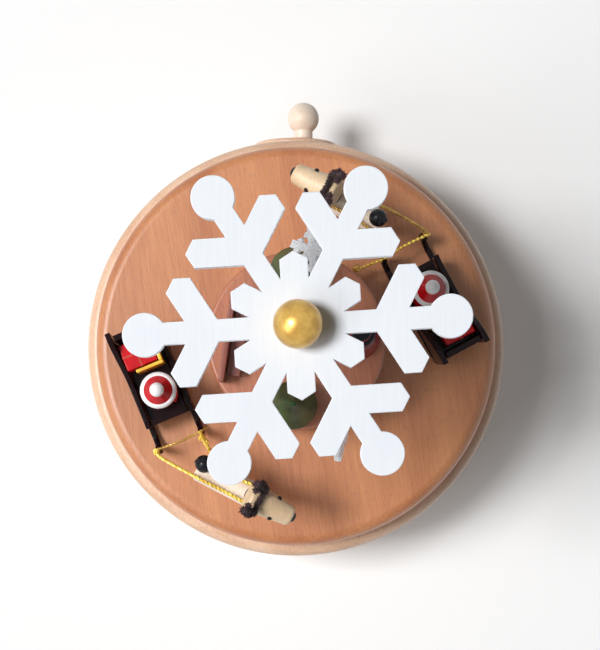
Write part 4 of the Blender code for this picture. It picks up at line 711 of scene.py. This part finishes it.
RIBBON = gilding("ribbon_gold", (246, 202, 66), (214, 160, 40), (0.3, 0.45), metallic=0.2, slot="gold_paint")
THREAD = gilding(
    "gold_thread", (255, 232, 110), (222, 176, 50), (0.25, 0.45), metallic=0.35, slot="gold_cord"
)
# A darker copy of the gold thread for cords that lie in shade: painted shade.
SHADED_THREAD = gilding(
    "shaded_gold_thread", (226, 184, 84), (130, 92, 36), (0.25, 0.45), metallic=0.45, slot="gold_cord"
)
CHENILLE = cloth_fibre(
    "antler_chenille", (66, 34, 38), (30, 14, 18), size=0.2, depth=0.05, sheen=0.15, slot="antler_brown"
)
FELT = cloth_fibre("felt", (40, 104, 72), (24, 72, 48), size=0.3, depth=0.15, sheen=0.5)
GLITTER = glitter("glitter_white", (252, 253, 255), (214, 218, 226), slot="white_paint")
WIRE = paint("white_wire", (236, 238, 242), (214, 218, 226), (0.35, 0.45), coat=0.2, brush=(0.4, 0.4, 3.0))
STEEL = metal("steel", (198, 198, 202), (160, 160, 166))
BRASS = metal("brass", (226, 188, 112), (186, 146, 78))


def make_base():
    """The turned body with its recess for the crank disc, the felt, and the cover's screws."""
    profile = [
        (PLATE_HOLE_RADIUS, BASE_TOP),
        (BASE_RADIUS, BASE_TOP, BASE_TOP_EDGE),
        (BASE_RADIUS, BASE_BOTTOM, BASE_FOOT_EDGE),
        (COVER_LEDGE_RADIUS, BASE_BOTTOM),
        (COVER_LEDGE_RADIUS, COVER_LEDGE),
        (CAVITY_RADIUS, COVER_LEDGE),
        (CAVITY_RADIUS, CEILING),
        (LEDGE_RADIUS, CEILING),
        (LEDGE_RADIUS, LEDGE_TOP),
        (PLATE_HOLE_RADIUS, LEDGE_TOP),
    ]
    body = turned(profile, WHEEL_STEPS)
    along_shaft = raised(SHAFT_HEIGHT) @ BACKWARD
    recess = dowel(RECESS_RADIUS, RECESS_END, RECESS_FLOOR, 0.0, RECESS_EDGE, ROUND_STEPS, along_shaft)
    inside, outside = SHAFT_HOLE_REACH
    hole = dowel(SHAFT_HOLE, outside, inside, place=along_shaft)
    piece("base_wood", carved(body, recess, hole), BEECH, "base_body", "base")
    felt = dowel(FELT_RADIUS, FELT_TOP, low=0.0, top_edge=0.4, foot_edge=0.3, steps=WHEEL_STEPS)
    piece("felt_disc", felt, FELT, "base_felt", "base")
    for index in range(3):
        slot = block(*SCREW_SLOT, edge=0.05)
        slot.transform(Matrix.Rotation(SCREW_TURN * index, 4, "Z"))
        screw = carved(turned(SCREW_PROFILE, SMALL_STEPS), slot)
        screw.transform(Matrix.Translation(polar(SCREW_CIRCLE, TURN * (index + 0.5) / 3, BASE_BOTTOM)))
        piece(f"slotted_screw_{index + 1}", screw, STEEL, f"cover_screw_{index + 1}", "base")
    refinished(PLYWOOD, "bottom_cover", "bearing_plate")
    refinished(BRASS, "spindle_bush", "crank_bush", "footstep_bearing")
    refinished(STEEL, "movement_frame", "comb")


def make_crank():
    """The crank disc, its ball grip, and the metal pieces behind it."""
    profile = [
        (0.0, CRANK_HIGH),
        (CRANK_RADIUS, CRANK_HIGH, CRANK_EDGE),
        (CRANK_RADIUS, CRANK_LOW, CRANK_EDGE),
        (CRANK_BORE, CRANK_LOW),
        (CRANK_BORE, CRANK_LOW + CRANK_BORE_DEPTH),
        (0.0, CRANK_LOW + CRANK_BORE_DEPTH),
    ]
    disc = turned(profile, ROUND_STEPS, raised(SHAFT_HEIGHT) @ BACKWARD)
    piece("crank_wood", disc, BEECH, "crank_disc", "crank")
    rise = math.sqrt(GRIP_RADIUS**2 - GRIP_NECK**2)
    centre = GRIP_NECK_LENGTH + rise
    profile = [
        (0.0, centre + GRIP_RADIUS),
        *arc((0.0, centre), GRIP_RADIUS, QUARTER, -math.atan2(rise, GRIP_NECK), 36)[1:],
        (GRIP_NECK, 0.0, 0.3),
        (GRIP_BORE, 0.0),
        (GRIP_BORE, GRIP_BORE_DEPTH),
        (0.0, GRIP_BORE_DEPTH),
    ]
    grip = turned(profile, FIGURE_STEPS, Matrix.Translation(GRIP_PLACE) @ BACKWARD)
    piece("grip_wood", grip, PALE_WOOD, "grip_ball", "grip")
    refinished(STEEL, "crank_shaft", "grip_pin", "drum_arbor", "spindle")
    refinished(BRASS, "crown_pinion", "drum_pinion", "drum_wheel", "crown_gear", "drum")


def make_stage_of_wood():
    """The turntable, the pedestal and the pole."""
    profile = [
        (SPINDLE_HOLE, TURNTABLE_TOP),
        (TURNTABLE_RADIUS, TURNTABLE_TOP, TURNTABLE_TOP_EDGE),
        (TURNTABLE_RADIUS, TURNTABLE_BOTTOM, TURNTABLE_LOWER_EDGE),
        (SPINDLE_HOLE, TURNTABLE_BOTTOM),
    ]
    disc = turned(profile, WHEEL_STEPS)
    piece("turntable_wood", disc, WARM_BEECH, "turntable")
    profile = [
        (POLE_HOLE, PEDESTAL_TOP),
        (PEDESTAL_RADIUS, PEDESTAL_TOP, PEDESTAL_EDGE),
        (PEDESTAL_RADIUS, STAND, PEDESTAL_FOOT_EDGE),
        (SPINDLE_HOLE, STAND),
        (SPINDLE_HOLE, POLE_LOW),
        (POLE_HOLE, POLE_LOW),
    ]
    drum = turned(profile, WHEEL_STEPS)
    # The pedestal takes the darker copy of the turntable's wood, which is partly painted shade.
    piece("pedestal_wood", drum, SHADED_RED_BEECH, "pedestal")
    pole = dowel(POLE_RADIUS, POLE_HIGH, POLE_LOW, top_edge=0.2, steps=BALL_STEPS)
    piece("pole_rod", pole, WHITE, "pole")


def branch(root, length, half_width, arm, pointed):
    """A branch's outline from where it leaves an arm of that half width, with a pointed or a square end."""
    out = polar(1.0, TURN / 6).xy
    side = Vector((-out.y, out.x))
    root = Vector((root, 0.0))
    end = root + out * (length - (half_width / math.tan(TURN / 6) if pointed else 0.0))
    return [
        root + out * ((arm - half_width * side.y) / out.y) + side * half_width,
        end + side * half_width,
        *([root + out * length] if pointed else []),
        end - side * half_width,
        root + out * ((arm + half_width * side.y) / out.y) - side * half_width,
    ]


def large_flake_half():
    """One half sector of the large snowflake, from its petal's point to the arm's round tip."""
    arm, petal, petal_reach = 2.38, 3.0, 15.85
    tip, tip_radius = 32.5, 4.7
    along = polar(1.0, TURN / 12).xy
    across = Vector((-along.y, along.x))
    return [
        along * petal_reach,
        along * (petal_reach - petal / math.tan(TURN / 6)) - across * petal,
        along * ((arm + petal * along.x) / along.y) - across * petal,
        *branch(root=19.0, length=13.3, half_width=3.06, arm=arm, pointed=True),
        *arc((tip, 0.0), tip_radius, math.pi - math.asin(arm / tip_radius), 0.0, 28),
    ]


def small_flake_half():
    """One half sector of a small snowflake, from the gap between two arms to the arm's square end."""
    arm = 0.95
    twig = branch(root=3.3, length=1.9, half_width=0.65, arm=arm, pointed=False)
    return [(arm / math.tan(TURN / 12), arm), *twig, (SMALL_FLAKE_RADIUS, arm)]


def make_snowflakes():
    """The large snowflake with its gilt ball, and the two glittering small ones on their wires."""
    hole = [polar(POLE_HOLE, TURN * step / SMALL_STEPS) for step in range(SMALL_STEPS)]
    middle = raised(FLAKE_LOW + 0.5 * FLAKE_THICKNESS)
    board = plate([star(large_flake_half(), FLAKE_TURN), hole], FLAKE_THICKNESS, FLAKE_EDGE, middle)
    piece("snowflake_board", board, WHITE, "snowflake")
    gilt = ball((0.0, 0.0, BALL_CENTRE), BALL_RADIUS, steps=ROUND_STEPS)
    piece("gilt_ball", trimmed(gilt, (0.0, 0.0, BALL_SEAT), above=True), GOLD, "gold_ball")
    for index, (reach, direction, length, turn, lean) in enumerate(HANGING, start=1):
        spot = polar(reach, direction, WIRE_TOP)
        wire = dowel(WIRE_RADIUS, 0.0, -length, foot_edge=0.1, steps=12, place=Matrix.Translation(spot))
        piece(f"wire_{index}", wire, WIRE, f"hanger_{index}")
        along = polar(SMALL_FLAKE_RADIUS, turn + QUARTER) * -math.sin(lean)
        drop = SMALL_FLAKE_RADIUS * math.cos(lean) + 0.5 * SMALL_FLAKE_THICKNESS * math.sin(lean)
        middle = spot + along - Vector((0.0, 0.0, length + GLUE + drop))
        place = Matrix.Translation(middle) @ Euler((QUARTER - lean, 0.0, turn)).to_matrix().to_4x4()
        outline = star(small_flake_half(), QUARTER)
        flake = plate([outline], SMALL_FLAKE_THICKNESS, SMALL_FLAKE_EDGE, place, segments=3)
        piece(f"glitter_snowflake_{index}", flake, GLITTER, f"small_snowflake_{index}")


def make_trees():
    """Two turned trees on short trunks."""
    for name, reach, direction in TREES:
        place = standing(reach, direction, PERCH)
        piece(f"{name}_crown", turned(TREE_CROWN, FIGURE_STEPS, place), GREEN, name)
        trunk = dowel(radius=1.6, high=4.1, low=0.0, foot_edge=0.2, place=place)
        piece(f"{name}_trunk", trunk, TRUNK)


def make_bench():
    """An upright plank and the seat on its two cheeks."""
    place = standing(*BENCH)
    back = block((-0.7, -10.75, 0.0), (0.7, 10.75, 7.5), edge=0.3, place=place)
    piece("bench_back_plank", back, PLANK, "bench_back")
    end, cheek, under, top = 8.75, 7.35, 2.6, 4.0
    half = [(-end, 0.0), (-cheek, 0.0), (-cheek, under)]
    outline = half + [(-x, z) for x, z in reversed(half)] + [(end, top), (-end, top)]
    lie = Euler((QUARTER, 0.0, QUARTER)).to_matrix().to_4x4()
    seat = plate([outline], thickness=3.2, edge=0.2, place=place @ Matrix.Translation((2.6, 0.0, 0.0)) @ lie)
    piece("bench_seat_plank", seat, PLANK, "bench_seat")


def figure(name, place, height, coat_radius, head_radius, coat, facing):
    """A turned figure with a round head, dot eyes and a small nose. Gives the level of the head's middle."""
    head_level = height - 0.85 * head_radius
    neck = head_level - 0.8 * head_radius
    collar = neck + 0.6
    coat_profile = [
        (0.0, collar),
        (0.45 * head_radius, collar),
        (0.6 * head_radius, neck),
        (0.72 * coat_radius, 0.82 * neck, 1.2),
        (coat_radius, 0.0, 0.4),
        (0.0, 0.0),
    ]
    piece(f"{name}_coat", turned(coat_profile, FIGURE_STEPS, place), coat, name)
    head = ball((0.0, 0.0, head_level), head_radius, place, FIGURE_STEPS)
    piece(f"{name}_head", trimmed(head, place @ (UP * height), above=False), SKIN, name)
    looking = place @ raised(head_level) @ Matrix.Rotation(facing, 4, "Z")
    eyes = []
    for side in (-0.34, 0.34):
        eyes.append(ball(polar(head_radius, side, 0.12 * head_radius), 0.1 * head_radius, looking, steps=12))
    piece(f"{name}_eyes", joined(*eyes), BLACK, name)
    nose = ball((0.98 * head_radius, 0.0, -0.12 * head_radius), 0.16 * head_radius, looking, steps=16)
    piece(f"{name}_nose", nose, SKIN, name)
    return head_level


def make_guest():
    """The standing guest with a scarf and a black hat with a red band."""
    place = standing(*GUEST)
    figure("guest", place, GUEST_HEIGHT, GUEST_COAT_RADIUS, GUEST_HEAD_RADIUS, CRIMSON, facing=math.pi)
    scarf = ring(major=1.9, minor=0.75, place=place @ raised(SCARF_LEVEL))
    piece("guest_scarf", scarf, RED, "guest")
    top = place @ raised(GUEST_HEIGHT + GLUE)
    piece("guest_hat_felt", turned(HAT_PROFILE, FIGURE_STEPS, top), BLACK, "guest_hat")
    piece("guest_hat_band", turned(HAT_BAND, FIGURE_STEPS, top), RED, "guest_hat")


def sleigh_place(index):
    reach, direction, heading = SLEIGHS[index]
    return standing(reach, direction, STAND, heading)


def side_outlines():
    """A side board with its runner, and the two gaps between the runner and the panel."""
    heel, toe = -SLEIGH_REAR + STRUT, BOX_FRONT - STRUT
    curl = (SLEIGH_FRONT - CURL, CURL)
    lip = 0.3
    nose = BOX_FRONT + lip
    outline = [(heel, 0.0)]
    outline += arc(curl, CURL, -QUARTER, CURL_TURN, 20)
    outline += arc(curl, CURL - RUNNER, CURL_TURN, -QUARTER, 16)
    outline += [(toe, RUNNER), (toe, SLEIGH_FLOOR), (nose, SLEIGH_FLOOR + lip), (nose, SLEIGH_FRONT_HEIGHT)]
    level, shoulder = SLEIGH_FRONT_HEIGHT - 1.0, nose - 1.8
    steps, flat = 32, 0.44  # of the board's dipping upper edge, and its level share
    for step in range(steps + 1):
        share = step / steps
        risen = max(0.0, (share - flat) / (1.0 - flat))
        height = level + (SLEIGH_REAR_HEIGHT - level) * 0.5 * (1.0 - math.cos(math.pi * risen))
        outline.append((shoulder + share * (heel - shoulder), height))
    outline += [(-SLEIGH_REAR, SLEIGH_REAR_HEIGHT), (-SLEIGH_REAR + 0.8, SLEIGH_FLOOR)]
    first, last = heel + STRUT, toe - STRUT
    middle = 0.5 * (first + last)
    gaps = [(first, middle - 0.5 * STRUT), (middle + 0.5 * STRUT, last)]
    low, high = RUNNER, SLEIGH_FLOOR
    return [outline, *[[(a, low), (b, low), (b, high), (a, high)] for a, b in gaps]]


def make_sleigh(index):
    """The lacquered sleigh with its parcels and its rider."""
    number = index + 1
    place = sleigh_place(index)
    for side, sign in (("inner", 1.0), ("outer", -1.0)):
        upright = place @ Matrix.Translation((0.0, sign * SIDE_Y, 0.0)) @ UPRIGHT
        board = plate(side_outlines(), BOARD, edge=0.25, place=upright, segments=3)
        piece(f"sleigh_{number}_{side}_board", board, MAROON, f"sleigh_{number}_{side}_side")
    rear, foot, floor = -SLEIGH_REAR + 1.0, -SLEIGH_REAR + 1.6, SLEIGH_FLOOR + 0.3
    back_top, dash_top = SLEIGH_REAR_HEIGHT - 1.0, SLEIGH_FRONT_HEIGHT - 1.5
    outline = [
        (rear, back_top),
        (foot, floor),
        (BOX_FRONT, floor),
        (BOX_FRONT, dash_top),
        (BOX_FRONT - BOARD, dash_top),
        (BOX_FRONT - BOARD, floor + BOARD),
        (foot + BOARD, floor + BOARD),
        (rear + BOARD, back_top),
    ]
    seat = plate([outline], SEAT_WIDTH, edge=0.2, place=place @ UPRIGHT, segments=3)
    piece(f"sleigh_{number}_seat_board", seat, MAROON, f"sleigh_{number}_seat")
    make_parcels(number, place)
    make_rider(number, place)


def make_parcels(number, place):
    """A red parcel tied with dull ribbon, and two slim gold ones against its front and side."""
    node = f"gift_{number}"
    box = block((-14.2, -4.8, SEAT_LEVEL), (-7.5, 3.2, PARCEL_TOP), edge=0.3, place=place)
    piece(f"parcel_{number}", box, RED, node)
    ribbon_top = PARCEL_TOP + 0.06
    ribbons = [
        block((-14.25, -1.2, SEAT_LEVEL), (-7.45, -0.7, ribbon_top), edge=0.04, place=place, segments=2),
        block((-11.2, -4.85, SEAT_LEVEL), (-10.7, 3.25, ribbon_top), edge=0.04, place=place, segments=2),
    ]
    piece(f"parcel_ribbon_{number}", joined(*ribbons), DULL_RIBBON, node)
    slim = [
        block((-7.2, -2.9, SEAT_LEVEL), (-6.3, 4.3, PARCEL_TOP - 0.2), edge=0.2, place=place),
        block((-9.4, 3.4, SEAT_LEVEL), (-7.2, 4.3, PARCEL_TOP - 0.1), edge=0.2, place=place),
    ]
    piece(f"gold_parcel_{number}", joined(*slim), RIBBON, node)


def make_rider(number, place):
    """The seated rider in red with a white beard, and the fur-edged hat with its ball."""
    name = f"rider_{number}"
    seat = place @ Matrix.Translation((0.0, RIDER_Y, SEAT_LEVEL))
    head_level = figure(name, seat, RIDER_HEIGHT, RIDER_COAT_RADIUS, RIDER_HEAD_RADIUS, RED, facing=0.0)
    beard = ball((1.5, 0.0, head_level - 2.6), 2.0, seat, stretch=(0.75, 1.1, 1.25))
    piece(f"{name}_beard", beard, HAT_WHITE, name)
    arms = []
    for side in (-1.0, 1.0):
        path = [Vector((x, side * y, z)) for x, y, z in RIDER_ARM]
        arms.append(tube([seat @ spot for spot in smooth_route(path, steps=6)], radius=0.85, sides=16))
    piece(f"{name}_arms", joined(*arms), RED, name)
    top = seat @ raised(RIDER_HEIGHT + GLUE)
    hat = f"{name}_hat"
    piece(f"{hat}_brim", turned(FUR_BRIM, FIGURE_STEPS, top), HAT_WHITE, hat)
    piece(f"{hat}_cone", turned(RED_CONE, FIGURE_STEPS, top), RED, hat)
    piece(f"{hat}_ball", ball((0.0, 0.0, 6.2), 1.75, top, BALL_STEPS), HAT_WHITE, hat)


def reindeer_place(index):
    reach, direction, heading = REINDEER[index][:3]
    return standing(reach, direction, STAND, heading)


def rod_between(start, end, radius, end_radius, edge, steps=SMALL_STEPS):
    """A round rod between two points, with eased ends."""
    along = end - start
    profile = [(0.0, along.length), (end_radius, along.length, edge), (radius, 0.0, edge), (0.0, 0.0)]
    return turned(profile, steps, Matrix.Translation(start) @ pointing(along))


def on_neck(level):
    """The point of the neck's middle line on that level."""
    return NECK_FOOT.lerp(NECK_TOP, (level - NECK_FOOT.z) / (NECK_TOP.z - NECK_FOOT.z))


def make_reindeer(index):
    """The pale wooden reindeer with its collar, eyes, nose, chenille antlers and ball tail."""
    name = f"reindeer_{index + 1}"
    place = reindeer_place(index)
    (behind, left), rump = REINDEER[index][3:]
    level = Vector((0.0, 0.0, BODY_LEVEL))
    ends = [level + Vector((along, 0.0, 0.0)) for along in (-rump, CHEST)]
    parts = [rod_between(*ends, BODY_RADIUS, BODY_RADIUS, edge=1.2, steps=FIGURE_STEPS)]
    for along in (LEG_INSET - rump, CHEST - LEG_INSET):
        for across in (-LEG_Y, LEG_Y):
            foot = Vector((along, across, 0.0))
            parts.append(rod_between(foot, foot + level, *LEG_RADII, edge=0.2, steps=24))
    wood_body = joined(*parts)
    wood_body.transform(place)
    piece(f"{name}_body_wood", wood_body, PALE_WOOD, f"{name}_body")
    head = joined(
        rod_between(HEAD_BACK, MUZZLE, HEAD_RADIUS, MUZZLE_RADIUS, edge=0.9, steps=FIGURE_STEPS),
        rod_between(NECK_FOOT, NECK_TOP, NECK_RADIUS, NECK_RADIUS, edge=0.1),
    )
    head.transform(place)
    piece(f"{name}_head_wood", head, HEAD_WOOD, f"{name}_head")
    make_face(name, place)
    make_antlers(name, place, random.Random(41 + index))
    reach = BODY_RADIUS + GLUE + TAIL_RADIUS
    centre = Vector((-behind, left, BODY_LEVEL + math.sqrt(reach**2 - left**2)))
    curl = ball(centre + Vector((-1.75, -0.3, 0.75)), 0.6, place, steps=24)
    tail = joined(ball(centre, TAIL_RADIUS, place, BALL_STEPS), curl)
    piece(f"{name}_tail_ball", tail, BLACK, f"{name}_tail")


def make_face(name, place):
    """Dot eyes, a dark nose and a black collar."""
    up = Vector((-HEAD_LINE.z, 0.0, HEAD_LINE.x))
    length = (MUZZLE - HEAD_BACK).length
    radius = HEAD_RADIUS + (MUZZLE_RADIUS - HEAD_RADIUS) * EYE_REACH / length
    dots = []
    for side in (-0.87, 0.87):
        spot = HEAD_BACK + HEAD_LINE * EYE_REACH + (up * 0.5 + Vector((0.0, side, 0.0))) * radius
        dots.append(ball(spot, 0.58, place, steps=20))
    dots.append(ball(MUZZLE + up * 0.7, 1.1, place, steps=28, stretch=(0.8, 1.2, 1.0)))
    piece(f"{name}_eyes_and_nose", joined(*dots), BLACK, f"{name}_head")
    lean = pointing((NECK_TOP - NECK_FOOT).normalized())
    collar = ring(major=2.55, minor=0.6, place=place @ Matrix.Translation(on_neck(COLLAR_LEVEL)) @ lean)
    piece(f"{name}_collar", collar, BLACK, f"{name}_head")


def make_antlers(name, place, dice):
    """Antlers bent from dark chenille: a bar across the head with a tufted loop and tines on each side."""
    crown = MUZZLE - HEAD_LINE * CROWN_REACH
    crown.z += HEAD_RADIUS
    turn = Matrix.Rotation(ANTLER_LEAN, 3, "Y")
    turn @= Matrix.Rotation(QUARTER, 3, "Z") @ Matrix.Rotation(QUARTER, 3, "X")
    tines = [BROW_BAR]
    for side in (-1.0, 1.0):
        for tine, core, hair in SIDE_TINES:
            tines.append(([(side * x, y) for x, y in tine], core, hair))
    shapes = []
    for tine, core, hair in tines:
        path = smooth_route([Vector((x, y, 0.0)) for x, y in tine], steps=8)
        shapes.append(tufted(path, core, hair, dice))
    tufts = joined(*shapes)
    tufts.transform(place @ Matrix.Translation(crown) @ turn.to_4x4())
    piece(f"{name}_chenille_antlers", tufts, CHENILLE, f"{name}_antlers")


def tufted(path, core, length, dice):
    """A tube thick with short hairs."""
    shape = tube(path, core)
    for start, end in zip(path, path[1:]):
        along = (end - start).normalized()
        for _ in range(max(2, int((end - start).length * HAIRS_PER_MM))):
            root = start.lerp(end, dice.random())
            out = along.orthogonal().normalized()
            out.rotate(Matrix.Rotation(dice.uniform(0.0, TURN), 3, along))
            hair = (out + along * dice.uniform(-0.5, 0.5)).normalized()
            reach = core + length * dice.uniform(0.6, 1.0)
            place = Matrix.Translation(root + hair * 0.5 * reach) @ pointing(hair)
            bmesh.ops.create_cone(shape, segments=3, radius1=0.12, radius2=0.05, depth=reach, matrix=place)
    return shape


def twisted(path, radius, pitch):
    """A cord laid from two twisted strands along a path."""
    shapes = []
    fat = 0.56 * radius
    for start in (0.0, 0.5):
        spots = []
        travelled = 0.0
        side = (path[1] - path[0]).normalized().orthogonal().normalized()
        for index, spot in enumerate(path):
            ahead = path[min(index + 1, len(path) - 1)]
            back = path[max(index - 1, 0)]
            along = (ahead - back).normalized()
            side = (side - along * side.dot(along)).normalized()
            offset = side * (radius - fat)
            offset.rotate(Matrix.Rotation(TURN * (travelled / pitch + start), 3, along))
            spots.append(spot + offset)
            travelled += (ahead - spot).length
        shapes.append(tube(spots, fat))
    return joined(*shapes)


def beaded(path, radius, pitch):
    """A thin cord with small beads strung on it."""
    beads = [ball(spot, radius, steps=16) for spot in evenly(path, pitch)]
    return joined(tube(path, 0.4 * radius), *beads)


def evenly(path, step):
    """The path's points again, at even steps along it."""
    spots = [path[0]]
    need = step
    for start, end in zip(path, path[1:]):
        length = (end - start).length
        done = 0.0
        while length - done >= need:
            done += need
            spots.append(start.lerp(end, done / length))
            need = step
        need -= length - done
    return spots + [path[-1]]


def rein_route(index):
    """The rein's own points, from one runner's tip round the neck to the other's."""
    sleigh, deer = sleigh_place(index), reindeer_place(index)
    behind, left = REINDEER[index][3]
    tip_x = SLEIGH_FRONT - CURL + (CURL - 0.5 * RUNNER) * math.cos(CURL_TURN)
    tip_z = CURL + CURL * math.sin(CURL_TURN) + GLUE + REIN_RADIUS
    rise, slack, tail_gap = 2.2, 0.1, 0.6
    neck_x = on_neck(REIN_LEVEL).x
    clear = NECK_RADIUS + GLUE + REIN_RADIUS + slack
    route = []
    for sign in (-1.0, 1.0):
        past_tail = sign * left + TAIL_RADIUS + tail_gap + REIN_RADIUS
        leg = [
            sleigh @ Vector((tip_x, sign * SIDE_Y, tip_z)),
            sleigh @ Vector((tip_x + rise, sign * SIDE_Y, tip_z + rise)),
            deer @ Vector((-behind, sign * max(REIN_Y, past_tail), REIN_LEVEL)),
            deer @ Vector((0.0, sign * REIN_Y, REIN_LEVEL)),
        ]
        if sign > 0.0:
            leg.insert(2, deer @ Vector(REIN_KNEE))
        for share in (0.35, 0.25, 0.12):
            spot = polar(clear, share * TURN)
            leg.append(deer @ Vector((neck_x + spot.x, sign * spot.y, REIN_LEVEL)))
        front = deer @ Vector((neck_x + clear, 0.0, REIN_LEVEL))
        route += leg + [front] if sign < 0.0 else leg[::-1]
    return route


def make_cords(index):
    """The twisted rein, the cord across the runners' tips and the knots that hold them."""
    number = index + 1
    node = f"rein_{number}"
    sleigh = sleigh_place(index)
    # The second sleigh's rein and knots and the first sleigh's cord across the runner tips take the darker
    # thread, which is painted shade.
    radius, finish, cross_finish = ((0.5, THREAD, SHADED_THREAD), (0.42, SHADED_THREAD, THREAD))[index]
    path = evenly(smooth_route(rein_route(index), steps=12), step=0.18)
    piece(f"twisted_rein_{number}", twisted(path, radius, pitch=2.3), finish, node)
    ends = [sleigh @ Vector(spot) for spot in CROSS_START + CROSS_END[index]]
    path = evenly(smooth_route(ends, steps=12), step=0.15)
    across = beaded(path, radius=0.46, pitch=1.2) if index == 1 else twisted(path, radius=0.34, pitch=1.9)
    piece(f"cross_cord_{number}", across, cross_finish, node)
    knots = []
    for centre, size in (*TIP_KNOTS, END_KNOT[index]):
        spots = [sleigh @ (Vector(centre) + 0.55 * size * Vector(spot)) for spot in KNOT_TURNS]
        path = evenly(smooth_route(spots, steps=10), step=0.15)
        knots.append(twisted(path, radius=0.75 * size, pitch=2.0))
    piece(f"knots_{number}", joined(*knots), finish, node)


def make_floor():
    """A plain pale floor, two metres to each side."""
    shape = bmesh.new()
    bmesh.ops.create_grid(shape, x_segments=1, y_segments=1, size=2.0)
    floor = meshed("floor", shape)
    pale, white = (0.9, 0.9, 0.9, 1.0), (1.0, 1.0, 1.0, 1.0)
    finish = Finish("floor_white", roughness=0.9, Base_Color=pale, Emission_Color=white)
    finish.drive("Emission Strength", seen_rays(finish.tree, 0.1))
    floor.data.materials.append(finish.material)


def seen_rays(tree, strength, others=0.0):
    """That strength for rays that see the backdrop directly, in a reflection or through glass."""
    path = shader_node(tree, "LightPath", {})
    share = path.outputs["Is Camera Ray"]
    for kind in ("Is Glossy Ray", "Is Transmission Ray"):
        share = shader_node(tree, "Math", {0: share, 1: path.outputs[kind]}, operation="MAXIMUM").outputs[0]
    scale = {"Value": share, "To Min": others, "To Max": strength}
    return shader_node(tree, "MapRange", scale).outputs["Result"]


def lamp(name, spot, width, height, power):
    """A soft lamp of that width and height in metres, aimed at the middle of the object."""
    light = bpy.data.lights.new(name, "AREA")
    light.shape = "RECTANGLE"
    light.size = width
    light.size_y = height
    light.energy = power
    holder = shown(name, light)
    holder.location = spot
    aim = Vector((0.0, 0.0, 0.06)) - Vector(spot)
    holder.rotation_euler = aim.to_track_quat("-Z", "Y").to_euler()


def make_light():
    """A soft window on the left, a weaker wide one in front of it, and an even fill."""
    lamp("window", (-1.76, 0.14, 2.93), width=1.0, height=1.0, power=101.0)
    lamp("wide_window", (-2.35, -1.18, 2.13), width=2.0, height=1.5, power=31.0)
    world = bpy.data.worlds.new("room")
    bpy.context.scene.world = world
    world.use_nodes = True
    backdrop = world.node_tree.nodes["Background"].inputs
    backdrop["Color"].default_value = (0.97, 0.985, 1.0, 1.0)
    world.node_tree.links.new(seen_rays(world.node_tree, 1.0, 0.04), backdrop["Strength"])


def make_camera():
    """Straight above the turntable, as in the photograph, 600 by 650 pixels."""
    picture_height, focal_length = 650.0, 1697.0  # in pixels, as is the object's place off the middle
    off_right, off_up = 12.0, 113.0
    camera = bpy.data.cameras.new("camera")
    camera.sensor_width = 36.0
    camera.lens = camera.sensor_width * focal_length / picture_height
    camera.shift_x = off_right / picture_height
    camera.shift_y = off_up / picture_height
    camera.clip_start = 0.01
    holder = shown("camera", camera)
    holder.location = (-0.00204, -0.0238, 0.4805)
    bpy.context.scene.camera = holder
    bpy.context.scene.view_settings.view_transform = "Standard"


make_camera()
make_light()
make_floor()
make_base()
make_crank()
make_stage_of_wood()
make_snowflakes()
make_trees()
make_bench()
make_guest()
for pair in range(2):
    make_sleigh(pair)
    make_reindeer(pair)
    make_cords(pair)
